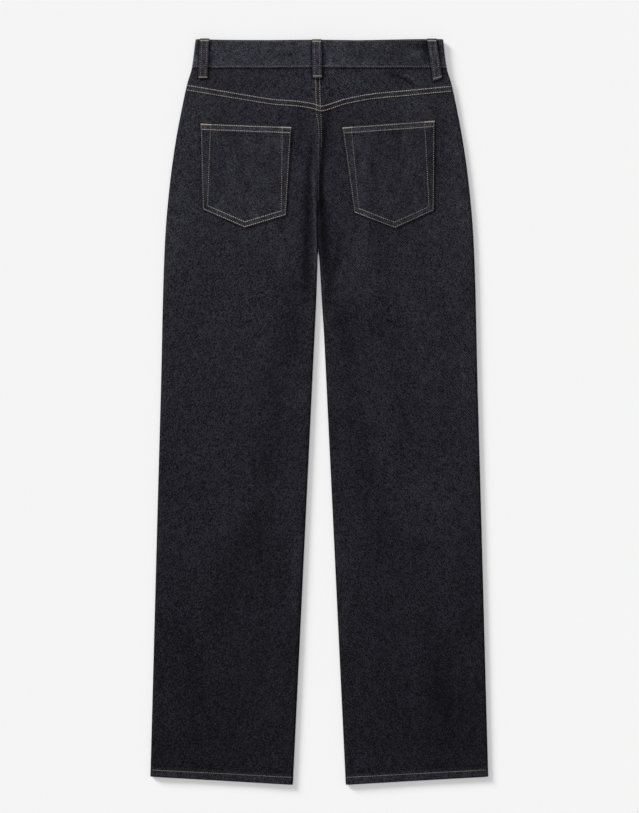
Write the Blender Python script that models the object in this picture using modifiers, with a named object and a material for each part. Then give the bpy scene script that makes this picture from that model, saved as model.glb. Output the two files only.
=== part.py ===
"""Straight leg jeans laid flat on their front, with the back upwards.

Metres, +Z up, the waist towards +Y. The origin is on the surface, under the middle of the jeans.
The wearer's left side is at -X. Each leg is a flattened tube: a back panel over a front panel, which
meet at half height along the side seam and the inseam.
"""

import math
from bisect import bisect_right

import bmesh
import bpy

MM = 0.001
LEFT, RIGHT = -1, 1
SIDES = (("left", LEFT), ("right", RIGHT))

# Cloth and the gaps between pieces
CLOTH = 1.2 * MM
SEAM_GAP = 0.3 * MM
HALF_GAP = SEAM_GAP / 2
LAID_CLEARANCE = 0.4 * MM

# The flattened tube
HALF_LENGTH = 529.3 * MM
LEG_TOP = 6.0 * MM
SIDE_SEAM_HEIGHT = 3.0 * MM
EDGE_RADIUS = 1.5 * MM
LEG_SAG = 0.7 * MM
SAG_SHARE = 0.3
SAG_FADE_START, SAG_FADE_END = 330 * MM, 430 * MM
SWELL_START, SWELL_END = 395 * MM, 486 * MM
FRONT_SWELL_START, FRONT_SWELL_END = 375 * MM, 470 * MM

# Half width of the jeans at each height, both in millimetres
OUTLINE = (
    (-530.1, 240.2), (-409, 236.9), (-267, 233.1), (-125, 229.3), (45, 224.6), (159, 222.1),
    (216, 220.3), (261, 218.0), (307, 214.0), (352, 208.7), (397, 201.7), (443, 192.6),
    (466, 187.4), (488, 180.9), (529.3, 175.7),
)

# Crotch and inseam
CROTCH_Y = 229 * MM
BACK_TURN_LENGTH = 130 * MM
FRONT_TURN_LENGTH = 40 * MM
# Half of the space between the legs at each height, both in millimetres
LEG_SPACE = (
    (-529.3, 37.6), (73, 8.55), (115.6, 6.4), (144, 4.75), (165, 3.7), (181, 3.0), (200, 2.1),
    (214, 1.5), (224, 0.8), (229, 0.0),
)
# Sideways place of the middle of that space, then of the centre back seam, or of the centre front
# seam and the fly's edge, in millimetres
CENTRE_BACK = (
    (110, 0.0), (165, -0.5), (208, -1.0), (229, -1.5), (247, -2.6), (277, -2.4), (308, -0.6),
    (336, 0.9), (369, 3.4), (414, 4.2), (430, 3.6), (488, 2.0),
)
CENTRE_FRONT = (
    (110, 0.0), (165, -0.5), (208, -1.0), (229, -1.5), (270, 0.0), (325, 0.5), (350, 5.0),
    (488, 5.0),
)

# Hems
HEM_INNER_X = 37.6 * MM
HEM_SLOPE = 0.0574
HEM_DEPTH = 11.2 * MM
HEM_STEP = 1.5 * MM
HEM_EXTRA = 1.0 * MM
HEM_FADE_START, HEM_FADE_END = 4 * MM, 10 * MM

# Height of the yoke's lower edge across the back, both in millimetres
YOKE_EDGE = (
    (-190, 455.6), (-145, 448.0), (-100, 440.5), (-66, 435.2), (-31, 432.4), (-8, 428.6),
    (3, 425.4), (20, 430.0), (35, 435.0), (72, 442.4), (124, 447.5), (190, 454.0),
)
FELL_WIDTH = 8.6 * MM
FELL_STEP = 0.9 * MM
YOKE_FELL_RISE = 0.6 * MM
CENTRE_FELL_RISE = 0.4 * MM

# Waistband
WAIST_SEAM = 488.0 * MM
# How far the waistband's upper edge lies below the highest point, across the back, in millimetres
BAND_TOP_DIP = (
    (-176, 0.5), (-150, 1.1), (-130, 1.5), (-60, 1.9), (0, 1.9), (40, 2.2), (54, 2.2), (80, 1.6),
    (108, 1.0), (137, 0.5), (176, 0.5),
)
FRONT_DIP = 10 * MM
BAND_HEIGHT = 41.3 * MM
BAND_CLOTH = 2.4 * MM
BAND_HOLLOW = 0.9 * MM
BAND_PROUD = 0.6 * MM
BAND_CORNER = 0.5 * MM
BAND_OUTER_END = 20 * MM
BAND_INNER_END = -18 * MM
OVERLAP_ROOM = 2.3 * MM
OVERLAP_FLAT, OVERLAP_REACH = 24 * MM, 84 * MM
INNER_END_RAMP = 24 * MM

# Button on the underside
BUTTON_RADIUS = 8.5 * MM
BUTTON_HEIGHT = 2.2 * MM
BUTTON_SPOT = (2 * MM, 498 * MM)
BUTTON_SIDES = 24
BUTTON_ROOM_WIDTH = 45 * MM

# Belt loops: sideways place at top and bottom, then height of both ends, in millimetres
LOOP_WIDTH = 13 * MM
BACK_LOOP_CLOTH = 1.8 * MM
FRONT_LOOP_CLOTH = 1.2 * MM
LOOP_EASE = 1.3 * MM
LOOP_SEWN_LOW, LOOP_SEWN_HIGH = 0.08, 0.97
LOOP_STEP_START, LOOP_STEP_END = WAIST_SEAM - 9 * MM, WAIST_SEAM - 1 * MM
BACK_LOOPS = (
    ("left", -162.4, -166.0, 529.3, 473.2),
    ("centre", -3.6, -2.6, 527.6, 473.0),
    ("right", 159.3, 168.0, 529.2, 471.4),
)
FRONT_LOOPS = (("left", -95.0, -95.0, 521.0, 466.0), ("right", 95.0, 95.0, 521.0, 466.0))
LOOP_STATIONS = 14

# Front scoop pockets
SCOOP_START = 107 * MM
SCOOP_DEPTH = 75 * MM
FACING_OVERLAP = 10 * MM
FACING_TUCK_START, FACING_TUCK_END = 28 * MM, 44 * MM
FACING_RISE_START, FACING_RISE_END = 12 * MM, 28 * MM
FACING_SINK_START, FACING_SINK_END = 2 * MM, 12 * MM
FACING_RISE = CLOTH + 0.5 * MM
FRONT_RECESS = 0.6 * MM
FLY_BULK = 0.6 * MM
FLY_BULK_WIDTH = 60 * MM

# Back pockets: corners in millimetres, side edges from bottom to top
BACK_POCKETS = {
    "left": {"outer": ((-165.5, 287.0), (-168.5, 409.0)), "inner": ((-47, 278.8), (-39.4, 404.2)),
             "tip": (-106.0, 261.1)},
    "right": {"outer": ((162.9, 285.6), (163.9, 413.2)), "inner": ((49.6, 282.4), (32.6, 403.6)),
              "tip": (107.0, 260.3)},
}
POCKET_HEM_DEPTH = 10 * MM
POCKET_HEM_STEP = 1 * MM
POCKET_HEM_RISE = 0.7 * MM

# Soft folds of the back: name, rise, spread, and points along them, in millimetres
FOLDS = (
    ("beside_seat_seam_left", -1.6, 5, ((-11, 392), (-14.5, 330), (-14.5, 280), (-16, 243), (-16, 175))),
    ("seat_ridge_left", 0.9, 3.5, ((-6.5, 400), (-9, 329), (-8, 272), (-6.5, 243), (-8, 200))),
    ("beside_seat_seam_right", -1.9, 6, ((8, 420), (9, 385), (6.5, 329), (7, 272), (7, 243), (13, 190))),
    ("right_of_crotch", -0.9, 6, ((14, 235), (17, 205), (17, 165))),
    ("seat_ridge_right", 0.8, 8, ((63, 262), (63, 203))),
    ("under_left_pocket", -0.7, 8, ((-44, 276), (-62, 246))),
    ("left_thigh", -1.3, 22, ((-29, 172), (-51, 84), (-64, -26), (-75, -91), (-96, -163))),
    ("left_shin", -1.3, 22, ((-80, -120), (-122, -236), (-132, -273), (-165, -355))),
    ("right_thigh", -0.8, 18, ((48, 20), (53, -18), (67, -88), (80, -155))),
    ("right_outer_thigh", -0.8, 16, ((90, 185), (114, 10), (128, -55), (142, -110))),
    ("right_shin", -0.9, 28, ((148, -285), (161, -345), (170, -400))),
    ("left_hem_arch", -0.9, 10, ((-222, -486), (-162, -462), (-130, -464))),
    ("right_hem_arch", -0.8, 10, ((222, -486), (164, -464), (132, -468))),
    ("yoke_crease", -0.5, 6, ((110, 484), (146, 465))),
)
FOLD_FADE_IN, FOLD_FADE_OUT = 0.3, 0.7

# Steps across a panel: from its start, a share of its width, or from its end
START, SHARE, END = range(3)
BACK_COLUMNS = (
    (START, 0), (START, 1.5), (START, 3.4), (START, 6), (START, 8.6), (START, 9.5), (START, 12.5),
    (START, 16), (START, 20), (START, 25), (START, 34), (START, 48), (SHARE, 0.36), (SHARE, 0.50),
    (SHARE, 0.64), (SHARE, 0.78), (END, 18), (END, 9), (END, 5.4), (END, 3), (END, 1.2), (END, 0),
)
BACK_ROWS = (-492, -478, -455, -430, -385, -330, -275, -220, -165, -110, -55, 0, 50, 95, 130, 160, 180,
             196, 210, 220, 229, 240, 252, 266, 282, 300, 318, 336, 354, 372, 390, 408)
HEM_ROWS = ((START, 0), (START, HEM_DEPTH / MM), (START, (HEM_DEPTH + HEM_STEP) / MM))
FRONT_COLUMNS = (
    (START, 0), (START, 1.5), (START, 5), (START, 12), (SHARE, 0.25), (SHARE, 0.50), (END, 80),
    (END, 62), (END, 44), (END, 28), (END, 20), (END, 12), (END, 5.4), (END, 3), (END, 1.2), (END, 0),
)
FRONT_ROWS = (-430, -300, -150, 0, 73, 120, 150, 180, 200, 214, 229, 248, 271, 298, 325, 338, 350,
              375, 395, 415, 435, 456)
YOKE_ROWS = ((START, 0), (START, 8.6), (START, 9.5), (SHARE, 0.45), (SHARE, 0.72), (END, 0))
FACING_COLUMNS = ((START, 0), (START, 9), (END, 80), (END, 62), (END, 44), (END, 28), (END, 20),
                  (END, 12), (END, 5.4), (END, 3), (END, 1.2), (END, 0))
FACING_ROWS = ((START, 0), (SHARE, 0.12), (SHARE, 0.25), (SHARE, 0.5), (SHARE, 0.75), (END, 0))
POCKET_SHARES = (0.0, 0.05, 0.11, 0.17, 0.28, 0.39, 0.5, 0.61, 0.72, 0.83, 0.89, 0.95, 1.0)
POCKET_ROWS = ((START, 0), (SHARE, 0.07), (SHARE, 0.16), (SHARE, 0.28), (SHARE, 0.4), (SHARE, 0.52),
               (SHARE, 0.64), (SHARE, 0.77), (END, 11), (END, 10), (END, 0))
BAND_SHARES = (0.96, 0.88, 0.78, 0.66, 0.54, 0.47, 0.40, 0.33, 0.27, 0.20, 0.13, 0.06)
FOLD_TURNS = 8

COLOURS = {  # eight-bit display colour, roughness and metallic value
    "leg": ((34, 34, 40), 0.92, 0.0),
    "yoke": ((40, 40, 46), 0.92, 0.0),
    "waistband": ((50, 50, 58), 0.90, 0.0),
    "pocket": ((42, 42, 48), 0.92, 0.0),
    "loop": ((46, 46, 52), 0.90, 0.0),
    "metal": ((116, 104, 86), 0.38, 1.0),
}


def eased(value, start, end):
    """0 before the start, 1 past the end and an S-curve between."""
    share = min(max((value - start) / (end - start), 0.0), 1.0)
    return share * share * (3 - 2 * share)


def bell(distance, width):
    """1 at no distance, falling off smoothly over the width."""
    return math.exp(-((distance / width) ** 2))


def curve_value(table, at):
    """Smooth curve through a table of millimetres, level beyond its ends."""
    at = at / MM
    if at <= table[0][0]:
        return table[0][1] * MM
    if at >= table[-1][0]:
        return table[-1][1] * MM
    after = bisect_right([row[0] for row in table], at)

    def slope(row):
        low, high = max(row - 1, 0), min(row + 1, len(table) - 1)
        return (table[high][1] - table[low][1]) / (table[high][0] - table[low][0])

    (x0, y0), (x1, y1) = table[after - 1], table[after]
    step = x1 - x0
    share = (at - x0) / step
    bent = share * share * (3 - 2 * share)
    value = y0 * (1 - bent) + y1 * bent
    value += slope(after - 1) * step * share * (1 - share) ** 2
    value -= slope(after) * step * share * share * (1 - share)
    return value * MM


def half_width(y):
    return curve_value(OUTLINE, y)


def inner_edge(table, side, y):
    """How far out from the middle a panel's inner edge is, at one height."""
    return max(curve_value(LEG_SPACE, y), HALF_GAP) + side * curve_value(table, y)


def hem_y(x):
    return -HALF_LENGTH + HEM_SLOPE * (abs(x) - HEM_INNER_X)


def fold_height(x, y):
    """Height that the soft folds add to the back at a point."""
    total = 0.0
    for _name, rise, spread, points in FOLDS:
        lengths = [math.dist(a, b) for a, b in zip(points, points[1:])]
        best, place, run = None, 0.0, 0.0
        for (x0, y0), (x1, y1), length in zip(points, points[1:], lengths):
            share = ((x / MM - x0) * (x1 - x0) + (y / MM - y0) * (y1 - y0)) / length**2
            share = min(max(share, 0.0), 1.0)
            away = math.hypot(x / MM - x0 - share * (x1 - x0), y / MM - y0 - share * (y1 - y0))
            if best is None or away < best:
                best, place = away, run + share * length
            run += length
        along = place / run
        fade = eased(along, 0.0, FOLD_FADE_IN) * (1 - eased(along, FOLD_FADE_OUT, 1.0))
        total += rise * MM * fade * bell(best, spread)
    return total


def waist_lift(x):
    """Height of the waistband's front above the surface: loops and button lie under it."""
    button_room = BUTTON_HEIGHT - FRONT_LOOP_CLOTH
    return FRONT_LOOP_CLOTH + SEAM_GAP + button_room * bell(x, BUTTON_ROOM_WIDTH)


def band_back_low(x):
    """Lower face of the waistband's back, over its overlapping ends."""
    ends = OVERLAP_ROOM * (1 - eased(abs(x), OVERLAP_FLAT, OVERLAP_REACH))
    return waist_lift(x) + BAND_CLOTH + BAND_HOLLOW + ends


def band_back_top(x):
    return band_back_low(x) + BAND_CLOTH


def side_height(y):
    """Height of the side seam and the inseam above the surface."""
    at_waist = (waist_lift(half_width(y)) + band_back_top(half_width(y))) / 2
    return SIDE_SEAM_HEIGHT + (at_waist - SIDE_SEAM_HEIGHT) * eased(y, SWELL_START, SWELL_END)


def back_height(x, y):
    """Outer face of the back, away from its edges."""
    swell = (band_back_top(x) - BAND_PROUD - LEG_TOP) * eased(y, SWELL_START, SWELL_END)
    middle = (half_width(y) + curve_value(LEG_SPACE, y)) / 2
    sag = LEG_SAG * bell(abs(x) - middle, SAG_SHARE * half_width(y))
    sag *= 1 - eased(y, SAG_FADE_START, SAG_FADE_END)
    return LEG_TOP + swell - sag + fold_height(x, y)


def front_lift(x, y):
    """Outer face of the front above the surface: flat on it but for the waist."""
    recess = FRONT_RECESS + FLY_BULK * bell(x, FLY_BULK_WIDTH)
    return (waist_lift(x) + recess) * eased(y, FRONT_SWELL_START, FRONT_SWELL_END)


def rolled(distance, drop, turn):
    """Fall and outward normal of an edge that rolls over by a share of a quarter turn."""
    if turn <= 0:
        return 0.0, 0.0, 1.0
    width = drop * drop / EDGE_RADIUS
    first = (1 - turn) * math.pi / 2
    if distance >= width * math.cos(first):
        return 0.0, 0.0, 1.0
    angle = math.acos(math.cos(first) - distance / width)
    lean, up = drop * math.cos(angle), width * math.sin(angle)
    length = math.hypot(lean, up)
    return drop * (1 - math.sin(angle)), lean / length, up / length


def spot(step, start, end):
    """A place between a panel's two edges."""
    kind, amount = step
    if kind == START:
        return start + amount * MM
    if kind == END:
        return end - amount * MM
    return start + amount * (end - start)


def panel_grids(side, columns, rows, inner, low, high, skin):
    """Outer and inner points of a panel that runs from its inner edge out to the side seam."""
    outer_grid, inner_grid = [], []
    for row in rows:
        outer_row, inner_row = [], []
        for column in columns:
            x = side * spot(column, inner(low(0)), half_width(low(0)))
            for _settle in range(4):
                y = spot(row, low(x), high(x))
                out = spot(column, inner(y), half_width(y))
                x = side * out
            z, lean, up, thickness = skin(x, y, out - inner(y), half_width(y) - out)
            outer_row.append((x, y, z))
            inner_row.append((x - thickness * lean, y, z - thickness * up))
        outer_grid.append(outer_row)
        inner_grid.append(inner_row)
    return outer_grid, inner_grid


def rows_by_height(heights, low, high, ends_at_low, ends_at_high):
    """Rows named by their height at the inner edge, between the given rows at both ends."""
    shares = [(SHARE, (height * MM - low) / (high - low)) for height in heights]
    return (*ends_at_low, *shares, *ends_at_high)


def material(name, look):
    colour, roughness, metallic = COLOURS[look]
    made = bpy.data.materials.new(name)
    made.use_nodes = True
    shader = made.node_tree.nodes["Principled BSDF"]
    linear = [((value / 255 + 0.055) / 1.055) ** 2.4 for value in colour]
    shader.inputs["Base Color"].default_value = (*linear, 1.0)
    shader.inputs["Roughness"].default_value = roughness
    shader.inputs["Metallic"].default_value = metallic
    return made


def add_mesh(name, mesh, look, collection):
    piece = bpy.data.objects.new(name, mesh)
    mesh.materials.append(material(name, look))
    collection.objects.link(piece)
    return piece


def loft(name, rings, look, collection):
    """A closed solid through rings of points, with a face over each end."""
    mesh = bmesh.new()
    made = [[mesh.verts.new(point) for point in ring] for ring in rings]
    for ring, following in zip(made, made[1:]):
        for place in range(len(ring)):
            after = (place + 1) % len(ring)
            mesh.faces.new((ring[place], ring[after], following[after], following[place]))
    for ring in (made[0], made[-1]):
        half = len(ring) // 2
        for place in range(half - 1):
            mesh.faces.new((ring[place], ring[place + 1], ring[-2 - place], ring[-1 - place]))
    bmesh.ops.recalc_face_normals(mesh, faces=mesh.faces)
    data = bpy.data.meshes.new(name)
    mesh.to_mesh(data)
    mesh.free()
    return add_mesh(name, data, look, collection)


def loft_sheet(name, outer_grid, inner_grid, look, collection):
    """A sheet of cloth between an outer and an inner grid of points."""
    rings = [outer + inner[::-1] for outer, inner in zip(outer_grid, inner_grid)]
    return loft(name, rings, look, collection)


def hem_thickness(x, y, from_inner, from_side):
    """Extra cloth turned up inside the hem, clear of the rolled edges."""
    turned_up = 1 - eased(y - hem_y(x), HEM_DEPTH, HEM_DEPTH + HEM_STEP)
    clear = eased(min(from_inner, from_side), HEM_FADE_START, HEM_FADE_END)
    return HEM_EXTRA * turned_up * clear


def back_skin(side, x, y, from_inner, from_side):
    """Height, outward normal and thickness of a back panel or a yoke."""
    top = back_height(x, y)
    drop = top - side_height(y) - HALF_GAP
    turn = 1 - eased(y, CROTCH_Y, CROTCH_Y + BACK_TURN_LENGTH)
    side_fall, side_lean, side_up = rolled(from_side, drop, 1.0)
    inner_fall, inner_lean, inner_up = rolled(from_inner, drop, turn)
    ridge = 0.0
    if side == LEFT:
        ridge = 1 - eased(from_inner, FELL_WIDTH, FELL_WIDTH + FELL_STEP)
        ridge *= CENTRE_FELL_RISE * (1 - turn)
    lean = side * (side_lean - inner_lean)
    thickness = CLOTH + ridge + hem_thickness(x, y, from_inner, from_side)
    return top - side_fall - inner_fall + ridge, lean, min(side_up, inner_up), thickness


def yoke_edge(x):
    return curve_value(YOKE_EDGE, x)


def back_leg(name, side, collection):
    rows = rows_by_height(BACK_ROWS, -HALF_LENGTH, yoke_edge(0), HEM_ROWS, ((END, 0),))
    outer_grid, inner_grid = panel_grids(
        side, BACK_COLUMNS, rows,
        inner=lambda y: inner_edge(CENTRE_BACK, side, y),
        low=hem_y,
        high=lambda x: yoke_edge(x) - HALF_GAP,
        skin=lambda x, y, from_inner, from_side: back_skin(side, x, y, from_inner, from_side),
    )
    return loft_sheet(name, outer_grid, inner_grid, "leg", collection)


def yoke(name, side, collection):
    def skin(x, y, from_inner, from_side):
        z, lean, up, thickness = back_skin(side, x, y, from_inner, from_side)
        felled = 1 - eased(y - yoke_edge(x), FELL_WIDTH, FELL_WIDTH + FELL_STEP)
        clear = eased(from_side, HEM_FADE_START, HEM_FADE_END)
        rise = YOKE_FELL_RISE * felled * clear
        return z + rise, lean, up, thickness + rise

    outer_grid, inner_grid = panel_grids(
        side, BACK_COLUMNS, YOKE_ROWS,
        inner=lambda y: inner_edge(CENTRE_BACK, side, y),
        low=lambda x: yoke_edge(x) + HALF_GAP,
        high=lambda x: WAIST_SEAM - SEAM_GAP,
        skin=skin,
    )
    return loft_sheet(name, outer_grid, inner_grid, "yoke", collection)


def front_waist_y(x):
    """Lower edge of the waistband on the front."""
    return WAIST_SEAM - FRONT_DIP * (1 - (x / half_width(WAIST_SEAM)) ** 2)


def mouth_y(x):
    """Edge of the front scoop pockets, level with the waistband nearer the middle."""
    share = (abs(x) - SCOOP_START) / (half_width(WAIST_SEAM - SCOOP_DEPTH) - SCOOP_START)
    return front_waist_y(x) - SCOOP_DEPTH * math.sin(math.pi / 2 * min(max(share, 0.0), 1.0))


def front_skin(side, x, y, from_inner, from_side):
    """Height, outward normal and thickness of a front panel, whose outer face is the lower one."""
    low = front_lift(x, y)
    rise = side_height(y) - HALF_GAP - low
    turn = 1 - eased(y, CROTCH_Y, CROTCH_Y + FRONT_TURN_LENGTH)
    side_rise, side_lean, side_up = rolled(from_side, rise, 1.0)
    inner_rise, inner_lean, inner_up = rolled(from_inner, rise, turn)
    lean = side * (side_lean - inner_lean)
    thickness = CLOTH + hem_thickness(x, y, from_inner, from_side)
    return low + side_rise + inner_rise, lean, -min(side_up, inner_up), thickness


def front_leg(name, side, collection):
    rows = rows_by_height(FRONT_ROWS, -HALF_LENGTH, mouth_y(0), HEM_ROWS, ((END, 0),))
    outer_grid, inner_grid = panel_grids(
        side, FRONT_COLUMNS, rows,
        inner=lambda y: inner_edge(CENTRE_FRONT, side, y),
        low=hem_y,
        high=lambda x: mouth_y(x) - SEAM_GAP,
        skin=lambda x, y, from_inner, from_side: front_skin(side, x, y, from_inner, from_side),
    )
    return loft_sheet(name, outer_grid, inner_grid, "leg", collection)


def front_pocket_facing(name, side, collection):
    """The cloth behind a scoop pocket's mouth, which tucks inside the front panel."""
    def low_edge(x):
        from_side = half_width(mouth_y(x)) - abs(x)
        return mouth_y(x) - FACING_OVERLAP * eased(from_side, FACING_TUCK_START, FACING_TUCK_END)

    def skin(x, y, _from_inner, from_side):
        near_mouth = 1 - eased(y - mouth_y(x), FACING_SINK_START, FACING_SINK_END)
        inside = near_mouth * eased(from_side, FACING_RISE_START, FACING_RISE_END)
        low = front_lift(x, y) + FACING_RISE * inside
        rise = side_height(y) - HALF_GAP - low
        side_rise, side_lean, side_up = rolled(from_side, rise, 1.0)
        return low + side_rise, side * side_lean, -side_up, CLOTH

    outer_grid, inner_grid = panel_grids(
        side, FACING_COLUMNS, FACING_ROWS,
        inner=lambda y: SCOOP_START - FACING_OVERLAP,
        low=low_edge,
        high=lambda x: front_waist_y(x) - SEAM_GAP,
        skin=skin,
    )
    return loft_sheet(name, outer_grid, inner_grid, "pocket", collection)


def back_face(x, y):
    """Outer face of the finished back at a point away from the side seams."""
    side = RIGHT if x > curve_value(CENTRE_BACK, y) else LEFT
    from_inner = max(side * x - inner_edge(CENTRE_BACK, side, y), 0.0)
    return back_skin(side, x, y, from_inner, half_width(y) - abs(x))[0]


def back_pocket(name, corners, collection):
    """A patch pocket, made from the back's own height and moved out by a small clearance."""
    (outer_low, outer_high), (inner_low, inner_high) = corners["outer"], corners["inner"]
    outer_grid, inner_grid = [], []
    for row in POCKET_ROWS:
        outer_row, inner_row = [], []
        for share in POCKET_SHARES:
            ends = (outer_low, corners["tip"]) if share < 0.5 else (corners["tip"], inner_low)
            half = (share % 0.5) / 0.5 if share < 1 else 1.0
            low = [(a + (b - a) * half) * MM for a, b in zip(*ends)]
            high = [(a + (b - a) * share) * MM for a, b in zip(outer_high, inner_high)]
            y = spot(row, low[1], high[1])
            x = low[0] + (high[0] - low[0]) * (y - low[1]) / (high[1] - low[1])
            z = back_face(x, y) + LAID_CLEARANCE
            hem = 1 - eased(high[1] - y, POCKET_HEM_DEPTH, POCKET_HEM_DEPTH + POCKET_HEM_STEP)
            outer_row.append((x, y, z + CLOTH + POCKET_HEM_RISE * hem))
            inner_row.append((x, y, z))
        outer_grid.append(outer_row)
        inner_grid.append(inner_row)
    return loft_sheet(name, outer_grid, inner_grid, "pocket", collection)


def strap(name, stations, thickness, collection):
    """A belt loop through stations of its lower face: middle point and half width."""
    rings = []
    for x, y, z in stations:
        half = LOOP_WIDTH / 2
        rings.append([
            (x - half, y, z), (x + half, y, z), (x + half, y, z + thickness),
            (x - half, y, z + thickness),
        ])
    return loft(name, rings, "loop", collection)


def loop_line(x_top, x_bottom, y_top, y_bottom):
    """Evenly spaced points of a belt loop, from its lower end to its upper one."""
    for station in range(LOOP_STATIONS + 1):
        share = station / LOOP_STATIONS
        yield (x_bottom + (x_top - x_bottom) * share) * MM, (y_bottom + (y_top - y_bottom) * share) * MM


def back_loop(name, x_top, x_bottom, y_top, y_bottom, collection):
    """Sewn down on the yoke and at the waistband's top, and free between."""
    stations = []
    for x, y in loop_line(x_top, x_bottom, y_top, y_bottom):
        edges = (x - LOOP_WIDTH / 2, x, x + LOOP_WIDTH / 2)
        yoke_top = max(back_face(edge, min(y, WAIST_SEAM)) for edge in edges)
        band_top = max(band_back_top(edge) for edge in edges)
        onto_band = eased(y, LOOP_STEP_START, LOOP_STEP_END)
        share = (y / MM - y_bottom) / (y_top - y_bottom)
        free = math.sin(math.pi * eased(share, LOOP_SEWN_LOW, LOOP_SEWN_HIGH))
        z = yoke_top + (band_top - yoke_top) * onto_band + SEAM_GAP + LOOP_EASE * free
        stations.append((x, y, z))
    return strap(name, stations, BACK_LOOP_CLOTH, collection)


def front_loop(name, x_top, x_bottom, y_top, y_bottom, collection):
    """Pressed flat between the waistband and the surface."""
    stations = [(x, y, 0.0) for x, y in loop_line(x_top, x_bottom, y_top, y_bottom)]
    return strap(name, stations, FRONT_LOOP_CLOTH, collection)


def band_section(share_out, turn, face, raise_by):
    """One chamfered section of the waistband, where share_out is the place across the waist.

    face is -1 on the front and 1 on the back, and turn is the angle round a side fold.
    """
    def point(share_up, depth):
        middle = WAIST_SEAM + share_up * BAND_HEIGHT
        width = half_width(middle)
        x = share_out * width
        if turn is not None:
            low, high = waist_lift(width), band_back_top(width)
            radius = (high - low) / 2
            towards = math.copysign(1.0, share_out)
            reach = radius - depth
            x = towards * (width - radius + reach * math.sin(turn))
            z = (low + high) / 2 - reach * math.cos(turn)
            front_share = (1 + math.cos(turn)) / 2
        elif face < 0:
            z = waist_lift(x) + raise_by + depth
            front_share = 1.0
        else:
            z = band_back_top(x) - depth
            front_share = 0.0
        dip = front_share * (WAIST_SEAM - front_waist_y(x))
        low_y = WAIST_SEAM - dip
        high_y = HALF_LENGTH - dip - curve_value(BAND_TOP_DIP, x)
        return x, low_y + share_up * (high_y - low_y), z

    corner = BAND_CORNER / BAND_HEIGHT
    return [
        point(corner, 0), point(0.5, 0), point(1 - corner, 0), point(1, BAND_CORNER),
        point(1, BAND_CLOTH - BAND_CORNER), point(1 - corner, BAND_CLOTH),
        point(0.5, BAND_CLOTH), point(corner, BAND_CLOTH),
        point(0, BAND_CLOTH - BAND_CORNER), point(0, BAND_CORNER),
    ]


def waistband(collection):
    """One strip: outer end at the centre front, left side, back, right side, inner end."""
    width = half_width(WAIST_SEAM + BAND_HEIGHT / 2)
    flat_end = 1 - (band_back_top(width) - waist_lift(width)) / 2 / width
    shares = [flat_end, *[share for share in BAND_SHARES if share < flat_end]]
    turns = [math.pi * step / FOLD_TURNS for step in range(1, FOLD_TURNS)]
    sections = [band_section(BAND_OUTER_END / width, None, -1, 0.0), band_section(0.0, None, -1, 0.0)]
    sections += [band_section(-share, None, -1, 0.0) for share in reversed(shares)]
    sections += [band_section(-1.0, turn, 0, 0.0) for turn in turns]
    sections += [band_section(-share, None, 1, 0.0) for share in shares]
    sections += [band_section(0.0, None, 1, 0.0)]
    sections += [band_section(share, None, 1, 0.0) for share in reversed(shares)]
    sections += [band_section(1.0, turn, 0, 0.0) for turn in reversed(turns)]
    layer = BAND_CLOTH + SEAM_GAP
    for share in (*shares, 0.0, BAND_INNER_END / width):
        over = 1 - eased(share * width, OVERLAP_FLAT, OVERLAP_FLAT + INNER_END_RAMP)
        sections.append(band_section(share, None, -1, layer * over))
    return loft("waistband", sections, "waistband", collection)


def button(collection):
    """Domed head, face down: a turned profile."""
    profile = ((0.0, 0.0), (0.5, 0.0), (0.8, 0.1), (0.96, 0.32), (1.0, 0.6), (0.94, 0.9), (0.8, 1.0),
               (0.0, 1.0))
    mesh = bpy.data.meshes.new("button")
    points = [(BUTTON_RADIUS * r, 0, BUTTON_HEIGHT * z) for r, z in reversed(profile)]
    mesh.from_pydata(points, [(i, i + 1) for i in range(len(points) - 1)], [])
    piece = add_mesh("button", mesh, "metal", collection)
    piece.location = (*BUTTON_SPOT, 0)
    turned = piece.modifiers.new("Turned", "SCREW")
    turned.steps = turned.render_steps = BUTTON_SIDES
    turned.use_merge_vertices = True
    turned.merge_threshold = 0.01 * MM
    return piece


def build():
    for old in list(bpy.data.objects):
        bpy.data.objects.remove(old, do_unlink=True)
    jeans = bpy.data.collections.new("straight_leg_jeans")
    bpy.context.scene.collection.children.link(jeans)
    for word, side in SIDES:
        back_leg(f"back_leg_{word}", side, jeans)
        front_leg(f"front_leg_{word}", side, jeans)
        yoke(f"yoke_{word}", side, jeans)
        front_pocket_facing(f"front_pocket_facing_{word}", side, jeans)
        back_pocket(f"back_pocket_{word}", BACK_POCKETS[word], jeans)
    waistband(jeans)
    for word, *line in BACK_LOOPS:
        back_loop(f"belt_loop_back_{word}", *line, jeans)
    for word, *line in FRONT_LOOPS:
        front_loop(f"belt_loop_front_{word}", *line, jeans)
    button(jeans)


build()
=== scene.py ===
"""Straight leg jeans in black denim, laid flat with the back up.

Metres, +Z up, the waist towards +Y, and the wearer's left side at -X. Each leg is a flattened tube: a
back panel over a front panel. Every cloth piece is a thin shell on its solid's form, with its twill,
its folds and its fading with painted shade and light, and the sewing lies on the cloth as real stitches.
"""

import math
import random
from bisect import bisect_right

import bmesh
import bpy
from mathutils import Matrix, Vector, noise


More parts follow.
